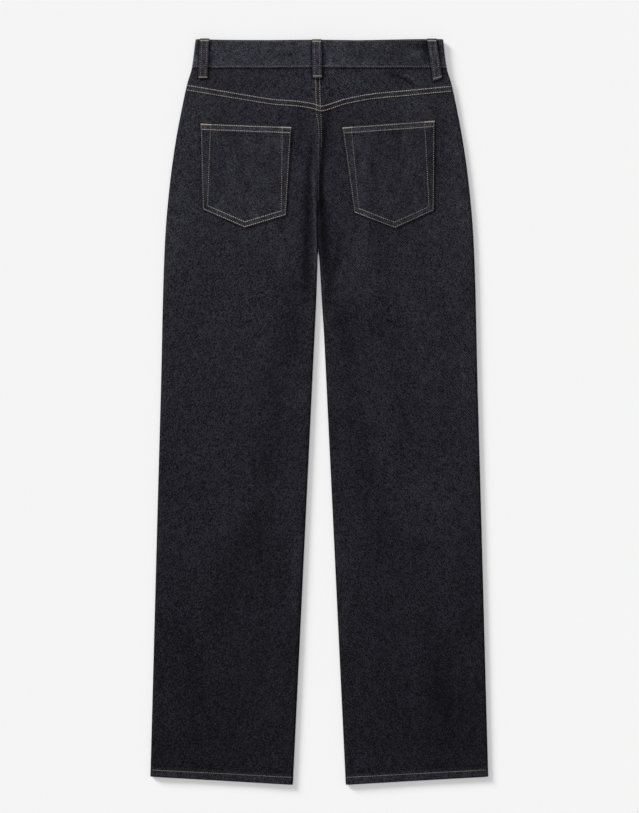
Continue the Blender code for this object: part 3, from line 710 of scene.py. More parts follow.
def aged_metal(name, rgb):
    """Button metal, uneven in its colour and its polish."""
    metal = Finish(name, {"Metallic": 1.0})
    place = metal.wire("ShaderNodeTexCoord", {}, {}, output=3)
    sockets = {"Vector": place, "Scale": 900.0, "Detail": 4.0}
    stain = metal.wire("ShaderNodeTexNoise", {}, sockets)
    metal.feed("Base Color", metal.blend(stain, coloured(rgb, 0.5), coloured(rgb, 1.2)))
    metal.feed("Roughness", 0.28 + 0.3 * stain)
    metal.feed_bump(stain, STAIN_RELIEF)
    return metal.material


DARK_YARN, PALE_YARN = (0.0056, 0.0055, 0.0066), (0.0400, 0.0398, 0.0525)
CLOTHS = {
    "denim_panel_left": denim("black_denim_left_panel", grain=1.24, twill=0.8),
    "denim_panel_right": denim("black_denim_right_panel", grain=1.38, twill=3.8),
    "denim_yoke_left": denim("black_denim_left_yoke", twill=0.6),
    "denim_yoke_right": denim("black_denim_right_yoke", grain=1.28, twill=3.0),
    "denim_pocket": denim("black_denim_pocket", twill=0.4),
    "denim_waistband": denim("black_denim_waistband", grain=0.9, twill=0.6),
    "denim_loop": denim("black_denim_loop", grain=0.9, twill=0.6),
}
THREADS = {
    "thread_grey": thread("grey_thread", (0.125, 0.115, 0.105)),
    "thread_brown": thread("brown_thread", (0.25, 0.20, 0.165)),
    "thread_gold": thread("gold_thread", (0.62, 0.46, 0.25)),
    "thread_cream": thread("cream_thread", (0.60, 0.56, 0.48)),
    "thread_tan": thread("tan_thread", (0.42, 0.38, 0.32)),
}
BUTTON_METAL = aged_metal("aged_button_metal", (0.40, 0.31, 0.20))

# Share of the dye's colour left at each height in millimetres: darker towards the hem, partly the wash
# and partly painted light that falls off from the waist
WASH_AND_PAINTED_LIGHT = (
    (-530, 0.52), (-430, 0.53), (-325, 0.61), (-250, 0.66), (-140, 0.79), (-30, 0.81), (73, 0.89),
    (150, 0.94), (204, 1.00), (300, 1.03), (400, 1.05), (440, 1.14), (530, 1.14),
)
POCKET_FADING = {"left": 1.22, "right": 1.02}
BAND_FADING, LOOP_FADING = 1.84, 1.78
# The wash's patches: strength on each leg, size across with the noise's seed, and how much of
# their height counts, so that they are longer down the legs than across
LEFT_PATCHES, RIGHT_PATCHES = 0.16, 0.21
PATCHES = ((38 * MM, 11.0), (10 * MM, 13.0))
PATCH_STRETCH = 0.5
# Painted shade on the rolled edges: how much darker at the side seam and at the inseam, and how far in
RIM_OUTER, RIM_INNER = 0.30, 0.50
RIM_START, RIM_END = 0.4 * MM, 2.4 * MM
# Painted shadow on the cloth just outside the pockets and the loops: how much darker, how far out
# and how wide
POCKET_SHADE = (0.34, 0.9 * MM, 1.35 * MM)
LOOP_SHADE = (0.70, 1.0 * MM, 1.6 * MM)
POCKETS_LOW, POCKETS_HIGH = 250 * MM, 420 * MM
# Hems: pale streaks below the sewing, paler up to a faint line of painted shadow where the turned-up
# cloth ends, and painted shade along the lower edge where it rolls under
HEM_PALE, HEM_STREAKS, STREAK_WIDTH, HEM_BLEND = 0.34, 0.5, 3.5 * MM, 0.8 * MM
HEM_STRIPE, STRIPE_START, STRIPE_END = 0.50, 13.5 * MM, 15.5 * MM
HEM_LINE, HEM_LINE_HEIGHT, HEM_LINE_WIDTH = 0.10, 15.8 * MM, 1.2 * MM
HEM_EDGE, HEM_EDGE_HEIGHT = 0.8, 1.2 * MM
# Felled seams are paler
CENTRE_FELL_PALE, YOKE_FELL_PALE = 0.16, 0.12
# Painted shadow on the right panel's edge beside the seat seam, under the left panel's ridge: how much
# darker, between which heights and how far out
SEAT_SHADOW_DARK = 0.32
SEAT_SHADOW_HEIGHTS = (212 * MM, 226 * MM, 280 * MM, 310 * MM)
SEAT_SHADOW_START, SEAT_SHADOW_END = 1.5 * MM, 4 * MM
# Painted shadow that the waistband casts on the yoke just under it: how much darker, and from where to
# where below the seam
WAIST_SHADES = ((0.55, 1.0 * MM, 2.0 * MM), (0.20, 2.4 * MM, 4.0 * MM))
# The least that wash, shade and wear leave of the colour
DARKEST = 0.1


def patchiness(x, y):
    """How unevenly the wash took: more so on the right leg."""
    strength = LEFT_PATCHES if x < 0 else RIGHT_PATCHES
    return 1 + strength * sum(unevenness(x, y * PATCH_STRETCH, *patch) for patch in PATCHES)


# The colour's share at a point: darker towards the hem, partly the wash and partly painted light, in
# patches
def wash_and_painted_light(x, y):
    return curve_value(WASH_AND_PAINTED_LIGHT, y) / MM * patchiness(x, y)


def rim_shade(from_inner, from_side, y):
    """Darkness of the rolled edges, where the cloth turns away."""
    outer = RIM_OUTER * (1 - eased(from_side, RIM_START, RIM_END))
    inner = RIM_INNER * (1 - eased(from_inner, RIM_START, RIM_END)) * centre_turn(y)
    return 1 - outer - inner


def shade_at(away, shade):
    """Painted shade at a distance from the edge of something that lies on the cloth."""
    dark, distance, width = shade
    return dark * bell(away - distance, width)


def beside_pocket(x, y):
    """Painted shadow on the cloth just outside the back pockets' sides and points."""
    if not POCKETS_LOW < y < POCKETS_HIGH:
        return 0.0
    corners = pocket_corners(BACK_POCKETS["left" if x < 0 else "right"])
    away = min(beside_line(x, y, *ends)[0] for ends in zip(corners, corners[1:]))
    return shade_at(away, POCKET_SHADE)


def beside_loops(x, y):
    """Painted shadow on the cloth just outside the belt loops' sides and lower ends."""
    dark = 0.0
    for _word, *line, slant in BACK_LOOPS:
        middle = loop_point(line, (y / MM - line[3]) / (line[2] - line[3]))[0]
        below = line[3] * MM + slant * (x - line[1] * MM) - y
        away = math.hypot(max(abs(x - middle) - LOOP_WIDTH / 2, 0.0), max(below, 0.0))
        dark = max(dark, shade_at(away, LOOP_SHADE))
    return dark


def back_fading_and_shade(side, x, y, from_inner, from_side):
    """Fading of the back, with painted highlights on its ridges and painted shade in its troughs."""
    above_hem = y - hem_y(x)
    streak = 1 + HEM_STREAKS * unevenness(x, 0.0, STREAK_WIDTH, 23.0)
    pale = HEM_PALE * streak * (1 - eased(above_hem - stitch_height(x), -HEM_BLEND, HEM_BLEND))
    pale += HEM_STRIPE * (1 - eased(above_hem, STRIPE_START, STRIPE_END))
    pale -= HEM_LINE * bell(above_hem - HEM_LINE_HEIGHT, HEM_LINE_WIDTH)
    pale -= HEM_EDGE * (above_hem < HEM_EDGE_HEIGHT)
    shade = shade_and_wear(x, y) * rim_shade(from_inner, from_side, y) * (1 - beside_pocket(x, y))
    if side == LEFT:
        felled = 1 - eased(from_inner, FELL_WIDTH, FELL_WIDTH + FELL_STEP)
        pale += CENTRE_FELL_PALE * (1 - centre_turn(y)) * felled
    else:
        in_seat_shadow = within(y, *SEAT_SHADOW_HEIGHTS) * (1 - eased(from_inner, SEAT_SHADOW_START, SEAT_SHADOW_END))
        shade *= 1 - SEAT_SHADOW_DARK * in_seat_shadow
    return max(wash_and_painted_light(x, y) * shade * (1 + pale), DARKEST)


def front_fading_and_light(_side, x, y, _from_inner, _from_side):
    return wash_and_painted_light(x, y)


# ---------------------------------------------------------------------------------------------
# Making the cloth
# ---------------------------------------------------------------------------------------------

# Distances from a sewn edge and from the side seam, in millimetres, that need their own steps
SEAM_STEPS = (0, 0.25, 0.5, 0.8, 1.4, 2.0, 3.2, 4.4, 5.6, 6.8, 7.6, 8.2, 8.6, 9.0, 9.5, 11, 13, 15,
              17, 19, 21, 23.5, 26, 29)
SIDE_STEPS = (16, 12, 9, 7, 5.4, 4.2, 3, 2, 1.2, 0.5, 0)
HEM_STEPS = (0, 0.25, 0.5, 0.8, 1.5, 3, 5, 7, 8.4, 9.0, 9.5, 10.1, 11, 13, 16)


def even(count, start=0.0, end=1.0):
    """Evenly spaced shares between the start and the end, both left out."""
    return [start + (end - start) * (place + 1) / (count + 1) for place in range(count)]


def steps(near, shares, far):
    """Steps across a panel: from its start, shares of what lies between, and from its end."""
    made = [("start", distance * MM, 0.0, 0.0) for distance in near]
    made += [("between", share, near[-1] * MM, far[0] * MM) for share in shares]
    return made + [("end", distance * MM, 0.0, 0.0) for distance in far]


def spot(step, start, end):
    """A place between a panel's two edges."""
    kind, amount, near, far = step
    if kind == "start":
        return start + amount
    if kind == "end":
        return end - amount
    return start + near + amount * (end - far - start - near)


def grained(mesh, grain, shades):
    """Gives a mesh its grain map, in metres along the cloth, and its fading and painted shade at each
    point.
    """
    layer = mesh.uv_layers.new(name="grain")
    for loop in mesh.loops:
        layer.data[loop.index].uv = grain[loop.vertex_index]
    fading_and_shade = mesh.attributes.new("fading_and_shade", "FLOAT", "POINT")
    fading_and_shade.data.foreach_set("value", shades)
    return mesh


def sheet_mesh(name, rows, columns, cell):
    """A closed sheet. Its cell gives an outer point, an inner one, and the fading and painted shade
    there.
    """
    cells = [[cell(row, column) for column in columns] for row in rows]
    high, wide = len(cells), len(cells[0])
    under = high * wide
    faces = []
    for row in range(high - 1):
        here, there = row * wide, (row + 1) * wide
        for column in range(wide - 1):
            quad = (here + column, here + column + 1, there + column + 1, there + column)
            faces += [quad, tuple(under + place for place in reversed(quad))]
        for column in (0, wide - 1):
            near, far = here + column, there + column
            faces.append((near, far, under + far, under + near))
    for row in (0, high - 1):
        for column in range(wide - 1):
            first = row * wide + column
            faces.append((first + 1, first, under + first, under + first + 1))
    outer, inner, shades = zip(*[found for line in cells for found in line])
    mesh = bpy.data.meshes.new(name)
    mesh.from_pydata(outer + inner, [], faces)
    outward(mesh)

    middle = wide // 2
    along = running_lengths([line[middle][0] for line in cells])
    grain = []
    for place, line in zip(along, cells):
        across = running_lengths([found[0] for found in line])
        grain += [(length - across[middle], place) for length in across]
    return grained(mesh, grain * 2, shades * 2)


def outward(mesh):
    """Turns a closed mesh's faces outwards and shades it smoothly but for its sharp edges."""
    work = bmesh.new()
    work.from_mesh(mesh)
    bmesh.ops.recalc_face_normals(work, faces=work.faces)
    work.to_mesh(mesh)
    work.free()
    mesh.shade_smooth()
    mesh.set_sharp_from_angle(angle=SHARP_ANGLE)


def running_lengths(points):
    """Length along a line up to each of its points."""
    lengths = [0.0]
    for before, after in zip(points, points[1:]):
        lengths.append(lengths[-1] + math.dist(before, after))
    return lengths


def add_piece(name, mesh, finish, slot, *nodes):
    """Puts a piece in the scene, riding on the jeans and standing for its solids."""
    mesh.materials.append(finish)
    piece = bpy.data.objects.new(name, mesh)
    bpy.context.scene.collection.objects.link(piece)
    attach(piece, "root")
    if nodes:
        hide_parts(*nodes)
    return piece


def cloth_piece(node, finish, rows, columns, cell):
    """Dresses the solid of the same name in a sheet. Both sides' finishes share one slot."""
    mesh = sheet_mesh(node, rows, columns, cell)
    slot = finish.removesuffix("_left").removesuffix("_right")
    return add_piece(f"cloth_{node}", mesh, CLOTHS[finish], slot, node)


def panel(node, finish, side, rows, columns, inner, low, high, skin, fading_and_shade):
    """A panel from its inner edge out to the side seam, and from its low to its high edge."""

    def cell(row, column):
        x = side * spot(column, inner(low(0)), half_width(low(0)))
        for _settle in range(4):
            y = spot(row, low(x), high(x))
            out = spot(column, inner(y), half_width(y))
            x = side * out
        place = (side, x, y, out - inner(y), half_width(y) - out)
        z, lean, up, thickness = skin(*place)
        return (x, y, z), (x - thickness * lean, y, z - thickness * up), fading_and_shade(*place)

    return cloth_piece(node, finish, rows, columns, cell)


def back_leg(word, side):
    """Rows are closer above the crotch, where the seat creases."""
    return panel(
        f"back_leg_{word}", f"denim_panel_{word}", side,
        rows=steps(HEM_STEPS, [*even(120, 0.0, 0.8), *even(112, 0.8, 1.0)], (7, 5, 3, 2, 1, 0.4, 0)),
        columns=steps(SEAM_STEPS, even(96), SIDE_STEPS),
        inner=lambda y: inner_edge(CENTRE_BACK, side, y),
        low=hem_y,
        high=lambda x: yoke_edge(x) - SEAM_GAP / 2,
        skin=back_skin,
        fading_and_shade=back_fading_and_shade,
    )


def yoke(word, side):
    return panel(
        f"yoke_{word}", f"denim_yoke_{word}", side,
        rows=steps(SEAM_STEPS[:16], even(16), (1.5, 0.8, 0)),
        columns=steps(SEAM_STEPS, even(84), SIDE_STEPS),
        inner=lambda y: inner_edge(CENTRE_BACK, side, y),
        low=lambda x: yoke_edge(x) + SEAM_GAP / 2,
        high=lambda x: WAIST_SEAM - SEAM_GAP,
        skin=yoke_skin,
        fading_and_shade=yoke_fading_and_shade,
    )


def yoke_fading_and_shade(side, x, y, from_inner, from_side):
    """The back's fading, paler on the felled seam, with painted shadow under the band and by the loops.
    """
    felled = 1 - eased(y - yoke_edge(x), FELL_WIDTH, FELL_WIDTH + FELL_STEP)
    shade = back_fading_and_shade(side, x, y, from_inner, from_side) * (1 + YOKE_FELL_PALE * felled)
    for dark, start, end in WAIST_SHADES:
        shade *= 1 - dark * (1 - eased(WAIST_SEAM - y, start, end))
    return shade * (1 - beside_loops(x, y))


def front_leg(word, side):
    return panel(
        f"front_leg_{word}", f"denim_panel_{word}", side,
        rows=steps(HEM_STEPS, even(150), (9, 5, 2, 0.8, 0)),
        columns=steps((0, 0.5, 1.5, 3, 5, 8, 12), even(20), (80, 62, 44, 28, 20, *SIDE_STEPS)),
        inner=lambda y: inner_edge(CENTRE_FRONT, side, y),
        low=hem_y,
        high=lambda x: mouth_y(x) - SEAM_GAP,
        skin=front_skin,
        fading_and_shade=front_fading_and_light,
    )


def front_pocket_facing(word, side):
    def low_edge(x):
        from_side = half_width(mouth_y(x)) - abs(x)
        return mouth_y(x) - FACING_OVERLAP * eased(from_side, FACING_TUCK_START, FACING_TUCK_END)

    return panel(
        f"front_pocket_facing_{word}", "denim_pocket", side,
        rows=steps((0,), even(16), (0,)),
        columns=steps((0, 9), even(8), (62, 44, 28, 20, *SIDE_STEPS)),
        inner=lambda y: SCOOP_START - FACING_OVERLAP,
        low=low_edge,
        high=lambda x: front_waist_y(x) - SEAM_GAP,
        skin=facing_skin,
        fading_and_shade=front_fading_and_light,
    )


def pocket_corners(corners):
    """A back pocket's corners in metres, round from the outer top one."""
    (outer_low, outer_high), (inner_low, inner_high) = corners["outer"], corners["inner"]
    return [
        (x * MM, y * MM) for x, y in (outer_high, outer_low, corners["tip"], inner_low, inner_high)
    ]


def edge_distances(corners, x, y):
    """Distance from a point inside a shape to each of its edges."""
    distances = []
    for (x0, y0), (x1, y1) in zip(corners, [*corners[1:], corners[0]]):
        area = abs((x - x0) * (y1 - y0) - (y - y0) * (x1 - x0))
        distances.append(area / math.dist((x0, y0), (x1, y1)))
    return distances


# Where the back pockets are paler or darker, in the form of the back's table of shade and wear
POCKET_WEAR = (
    ("right_inner_side", 0.24, 15, ((50, 470), (58, 345), (62, 220))),
    ("right_outer_top", -0.14, 16, ((156, 420), (152, 375), (150, 330))),
    ("left_inner_side", -0.10, 14, ((-56, 430), (-62, 350), (-72, 250))),
)
# Pockets are paler along their edges, on their hems and on the folds beside their points, and have
# painted shadow just under their hems
POCKET_EDGE_PALE, POCKET_EDGE_WIDTH = 0.16, 1.6 * MM
UNDER_HEM_DARK, UNDER_HEM, UNDER_HEM_WIDTH = 0.22, 14.4 * MM, 1.6 * MM
POCKET_HEM_PALE, POCKET_HEM_START, POCKET_HEM_END = 0.45, 9 * MM, 10.5 * MM
POINT_PALE, POINT_PALE_START, POINT_PALE_END, POINT_RISE = 0.25, 7.5 * MM, 9 * MM, 8 * MM
# Patches of a pocket's wear: strength, squash, size and seed of the noise
POCKET_PATCHES = ((0.30, 0.6, 17 * MM, 29.0), (0.22, 1.0, 10 * MM, 37.0))
POCKET_SLACK, SLACK_SIZE, SLACK_START, SLACK_END = 0.25 * MM, 22 * MM, 4 * MM, 20 * MM
POCKET_STEPS = (0, 0.25, 0.5, 0.8, 1.4, 2.2, 3.4, 4.8, 6.4, 7.4, 8.4, 10, 12, 13.0, 13.6, 14.2)


def pocket_rise(corners, x, y):
    """Height of a pocket's face over its underside."""
    *sides, hem = edge_distances(corners, x, y)
    side = min(sides)
    edge = min(side, hem)
    folded = POCKET_FOLD_RISE * (1 - eased(side, POCKET_FOLD_WIDTH, POCKET_FOLD_WIDTH + MM))
    folded += POCKET_HEM_RISE * (1 - eased(hem, POCKET_HEM_DEPTH, POCKET_HEM_DEPTH + MM))
    drawn = pucker(x + y, edge, peak=3 * MM, reach=5 * MM, depth=0.12 * MM)
    slack = POCKET_SLACK * unevenness(x, y, SLACK_SIZE, 17.0) * eased(edge, SLACK_START, SLACK_END)
    return CLOTH + folded + drawn + slack - soft_edge(edge)


# A pocket's fading and painted shade: painted shadow lies just under its hem
def pocket_fading_and_shade(corners, x, y):
    *sides, hem = edge_distances(corners, x, y)
    edge = min(*sides, hem)
    worn_and_shaded = 1 + POCKET_EDGE_PALE * bell(edge, POCKET_EDGE_WIDTH)
    worn_and_shaded -= UNDER_HEM_DARK * bell(hem - UNDER_HEM, UNDER_HEM_WIDTH)
    worn_and_shaded += POCKET_HEM_PALE * (1 - eased(hem, POCKET_HEM_START, POCKET_HEM_END))
    if y < min(corners[1][1], corners[3][1]) + POINT_RISE:
        worn_and_shaded += POINT_PALE * (1 - eased(edge, POINT_PALE_START, POINT_PALE_END))
    for strength, squash, size, seed in POCKET_PATCHES:
        worn_and_shaded += strength * unevenness(x, squash * y, size, seed)
    return worn_and_shaded * shade_and_wear(x, y, POCKET_WEAR) * wash_and_painted_light(x, y)


def back_pocket(word):
    """Columns run from the outer edge over the point to the inner one, rows from low to high."""
    corners = pocket_corners(BACK_POCKETS[word])
    outer_high, outer_low, tip, inner_low, inner_high = corners
    half_across = abs(inner_high[0] - outer_high[0]) / 2
    outer_half = steps(POCKET_STEPS, even(18), (3, 1.2, 0))
    inner_half = steps((1.2, 3), even(18), POCKET_STEPS[::-1])
    columns = [(step, outer_low, tip, 0.0) for step in outer_half]
    columns += [(step, tip, inner_low, 0.5) for step in inner_half]

    def cell(row, column):
        step, start, end, first = column
        part = spot(step, 0.0, half_across) / half_across
        low = between(start, end, part)
        high = between(outer_high, inner_high, first + part / 2)
        y = spot(row, low[1], high[1])
        x = low[0] + (high[0] - low[0]) * (y - low[1]) / (high[1] - low[1])
        z = back_face(x, y) + LAID_CLEARANCE
        shade = POCKET_FADING[word] * pocket_fading_and_shade(corners, x, y)
        return (x, y, z + pocket_rise(corners, x, y)), (x, y, z), shade

    rows = steps(POCKET_STEPS, even(46), POCKET_STEPS[::-1])
    return cloth_piece(f"back_pocket_{word}", "denim_pocket", rows, columns, cell)


# ---------------------------------------------------------------------------------------------
# Waistband and belt loops
# ---------------------------------------------------------------------------------------------

FOLD_TURNS = 14
BAND_STEPS = (0, 0.25, 0.5, 0.8, 1.4, 2.0, 2.6, 3.4, 4.6, 6)


def band_stations():
    """Places along the waistband: share across, turn round a side fold, face and rise."""
    width = half_width(WAIST_SEAM + BAND_HEIGHT / 2)
    flat_end = 1 - (band_back_top(width) - waist_lift(width)) / 2 / width
    shares = [flat_end * share for share in even(64)]
    turns = [math.pi * step / FOLD_TURNS for step in range(1, FOLD_TURNS)]
    layer = BAND_CLOTH + SOLID_GAP
    made = [(BAND_OUTER_END / width * share, None, -1, 0.0) for share in (1.0, 0.98, 0.9, 0.6, 0.3)]
    made += [(-share, None, -1, 0.0) for share in (0.0, *shares, flat_end)]
    made += [(-1.0, turn, 0, 0.0) for turn in turns]
    made += [(-share, None, 1, 0.0) for share in (flat_end, *shares[::-1], 0.0)]
    made += [(share, None, 1, 0.0) for share in (*shares, flat_end)]
    made += [(1.0, turn, 0, 0.0) for turn in reversed(turns)]
    inner_end = [BAND_INNER_END / width * share for share in (0.3, 0.6, 0.9, 0.98, 1.0)]
    for share in (flat_end, *shares[::-1], 0.0, *inner_end):
        over = 1 - eased(share * width, OVERLAP_FLAT, OVERLAP_FLAT + INNER_END_RAMP)
        made.append((share, None, -1, layer * over))
    return made


def band_point(station, share_up, depth):
    """A point of the waistband, and the way out of its face."""
    share_out, turn, face, raise_by = station
    width = half_width(WAIST_SEAM + share_up * BAND_HEIGHT)
    x, out = share_out * width, Vector((0, 0, face))
    if turn is not None:
        low, high = waist_lift(width), band_back_top(width)
        radius = (high - low) / 2
        towards = math.copysign(1.0, share_out)
        out = Vector((towards * math.sin(turn), 0, -math.cos(turn)))
        x = towards * (width - radius + (radius - depth) * math.sin(turn))
        z = (low + high) / 2 - (radius - depth) * math.cos(turn)
        front_share = (1 + math.cos(turn)) / 2
    elif face < 0:
        z, front_share = waist_lift(x) + raise_by + depth, 1.0
    else:
        z, front_share = band_back_top(x) - depth, 0.0
    dip = front_share * (WAIST_SEAM - front_waist_y(x))
    low_y = WAIST_SEAM - dip
    high_y = HALF_LENGTH - dip - curve_value(BAND_TOP_DIP, x)
    return Vector((x, low_y + share_up * (high_y - low_y), z)), out


# Soft creases of the waistband, as the folds above; then its painted shade and highlights along the
# creases, painted shadow by the right loop and uneven tone, as the shade and wear above
BAND_CREASES = (
    ("left_of_middle", -0.5, 4, ((-52, 519), (-44, 505), (-34, 499))),
    ("by_right_loop", -0.6, 5, ((147, 527), (151, 519), (153, 508))),
    ("by_right_loop_ridge", 0.3, 2.5, ((126, 504), (138, 508), (151, 514))),
    ("by_centre_loop", -0.3, 4, ((12, 522), (10, 500))),
    ("by_left_loop", -0.25, 5, ((-148, 518), (-146, 500))),
)
BAND_SHADE_AND_WEAR = (
    ("left_of_middle", -0.35, 3.0, ((-60, 512), (-46, 507), (-30, 510))),
    ("left_of_middle_pale", 0.30, 2.0, ((-72, 507), (-60, 508), (-50, 514))),
    ("middle", -0.14, 8, ((-100, 508), (130, 508))),
    ("right_half", -0.24, 40, ((30, 508), (250, 508))),
    ("right_upper", -0.13, 9, ((100, 523), (152, 523))),
    ("by_right_loop", -0.45, 4.5, ((132, 521), (147, 518), (153, 523))),
    ("along_right_loop", -0.50, 4, ((147, 536), (150, 517), (153, 495))),
    ("by_right_loop_pale", 0.55, 1.8, ((126, 503), (138, 508), (151, 515))),
    ("left_end", -0.30, 4, ((-176, 522), (-174, 510), (-175, 502))),
    ("left_end_pale", 0.50, 5, ((-179, 504), (-175, 496), (-172, 486))),
    ("right_end_pale", 0.50, 5, ((176, 505), (177, 495), (178, 486))),
)
BAND_EDGE_PALE, BAND_EDGE_WIDTH = 0.10, 1.2 * MM
# Patches of the band's wear and its small waves: strength or height, and size
BAND_PATCHES, BAND_PATCH_SIZE, BAND_PATCH_SQUASH = 0.25, 12 * MM, 1.6
BAND_WAVES, BAND_WAVE_LENGTH = 0.22 * MM, 20 * MM


def band_relief(station, share_up):
    """How far the waistband's face falls in: soft edges, sewing and creases."""
    point, _out = band_point(station, share_up, 0.0)
    from_low, from_high = share_up * BAND_HEIGHT, (1 - share_up) * BAND_HEIGHT
    edge = min(from_low, from_high)
    fall = soft_edge(edge) + groove(edge - BAND_STITCH, depth=0.12 * MM, width=0.8 * MM)
    fall -= pucker(point.x, edge, peak=4 * MM, reach=5 * MM, depth=0.14 * MM)
    if station[2] > 0:
        fall -= fold_height(point.x, point.y, BAND_CREASES)
    return fall - BAND_WAVES * unevenness(point.x, point.y, BAND_WAVE_LENGTH, 21.0 + station[2])


def waistband():
    """One strip: outer end at the centre front, left side, back, right side, inner end."""

    def cell(station, share_up):
        edge = min(share_up, 1 - share_up) * BAND_HEIGHT
        outer, _out = band_point(station, share_up, band_relief(station, share_up))
        inner, _out = band_point(station, share_up, BAND_CLOTH - soft_edge(edge))
        x, y, _z = outer
        worn_and_shaded = (1 + BAND_EDGE_PALE * bell(edge, BAND_EDGE_WIDTH)) * patchiness(x, y)
        # The back's painted shade and highlights along its creases, painted shadow beside the loops, and
        # patches
        if station[2] > 0:
            worn_and_shaded *= shade_and_wear(x, y, BAND_SHADE_AND_WEAR) * (1 - beside_loops(x, y))
            worn_and_shaded *= 1 + BAND_PATCHES * unevenness(x, BAND_PATCH_SQUASH * y, BAND_PATCH_SIZE, 41.0)
        return tuple(outer), tuple(inner), BAND_FADING * worn_and_shaded

    heights = [spot(step, 0.0, BAND_HEIGHT) / BAND_HEIGHT
               for step in steps(BAND_STEPS, even(12), BAND_STEPS[::-1])]
    return cloth_piece("waistband", "denim_waistband", band_stations(), heights, cell)


LOOP_STEPS = (0, 0.25, 0.5, 0.8, 1.6, 2.4, 2.9, 3.4, 3.9, 4.5, 5.5)
LOOP_STATIONS = 44
LOOP_STITCH = 2.9 * MM
LOOP_EDGE_PALE, LOOP_EDGE_WIDTH = 0.14, 1.3 * MM
LOOP_PATCHES, LOOP_PATCH_SIZE = 0.12, 6 * MM


def loop_point(line, share):
    """Middle of a belt loop at a share of its length, from its lower end."""
    x_top, x_bottom, y_top, y_bottom = line
    x, y = between((x_bottom, y_bottom), (x_top, y_top), share)
    return x * MM, y * MM


def slanted(y, share, across, slant):
    """Height of a point beside a loop's middle: its lower end may be cut at a slant."""
    return y + slant * across * (1 - share) ** 3


def back_loop_low(x, y, share):
    """Lower face of a back loop: sewn down on the yoke and at the band's top, free between."""
    edges = (x - LOOP_WIDTH / 2, x, x + LOOP_WIDTH / 2)
    yoke_top = max(back_face(edge, min(y, WAIST_SEAM)) for edge in edges)
    band_top = max(band_back_top(edge) for edge in edges)
    onto_band = eased(y, WAIST_SEAM - 9 * MM, WAIST_SEAM - 1 * MM)
    free = math.sin(math.pi * eased(share, 0.08, 0.97))
    return yoke_top + (band_top - yoke_top) * onto_band + SOLID_GAP + LOOP_EASE * free


def loop_relief(across):
    """How far a loop's face falls in: its folded edges and its two lines of sewing."""
    edge = LOOP_WIDTH / 2 - abs(across)
    return soft_edge(edge) + groove(edge - LOOP_STITCH, depth=0.16 * MM)


def belt_loop(name, line, low_face, thickness, outer, slant):
    """A folded strip; outer is UP on the back and DOWN on the front."""

    def cell(share, across):
        x, y = loop_point(line, share)
        low = low_face(x, y, share)
        edge = LOOP_WIDTH / 2 - abs(across)
        fall, rounded = loop_relief(across), soft_edge(edge) / 2
        heights = (low + thickness - fall, low + rounded)
        if outer == DOWN:
            heights = (low + fall, low + thickness - rounded)
        worn_and_shaded = 1 + LOOP_EDGE_PALE * bell(edge, LOOP_EDGE_WIDTH)
        worn_and_shaded *= 1 + LOOP_PATCHES * unevenness(x + across, y, LOOP_PATCH_SIZE, 31.0)
        x, y = x + across, slanted(y, share, across, slant)
        return (x, y, heights[0]), (x, y, heights[1]), LOOP_FADING * worn_and_shaded

    half = [LOOP_WIDTH / 2 - distance * MM for distance in LOOP_STEPS]
    places = [-place for place in half] + [0.0] + half[::-1]
    return cloth_piece(name, "denim_loop", spaced(0.0, 1.0, LOOP_STATIONS), places, cell)


# ---------------------------------------------------------------------------------------------
# Sewing
# ---------------------------------------------------------------------------------------------

PITCH = 3.0 * MM
STITCH_LENGTH, LONG_STITCH = 1.5 * MM, 2.15 * MM
THREAD_WIDTH = 0.95 * MM
HEM_STITCH_LENGTH, HEM_THREAD, HEM_LIGHT = 2.85 * MM, 0.5 * MM, 0.8
HEM_INNER_ROOM, HEM_OUTER_ROOM = 1.2 * MM, 3 * MM
LOOP_TACK, POCKET_TACK, TACK_WIDTH = 12 * MM, 14.5 * MM, 1.9 * MM
TACK_PITCH, TACK_THREAD = 0.48 * MM, 0.5 * MM
# Along a stitch: share of its length, height over the cloth and size, as shares of the thread
STITCH_RINGS = ((0.0, -0.35, 0.45), (0.1, 0.0, 0.85), (0.3, 0.22, 1.0), (0.7, 0.22, 1.0),
                (0.9, 0.0, 0.85), (1.0, -0.35, 0.45))
THREAD_SIDES = 6


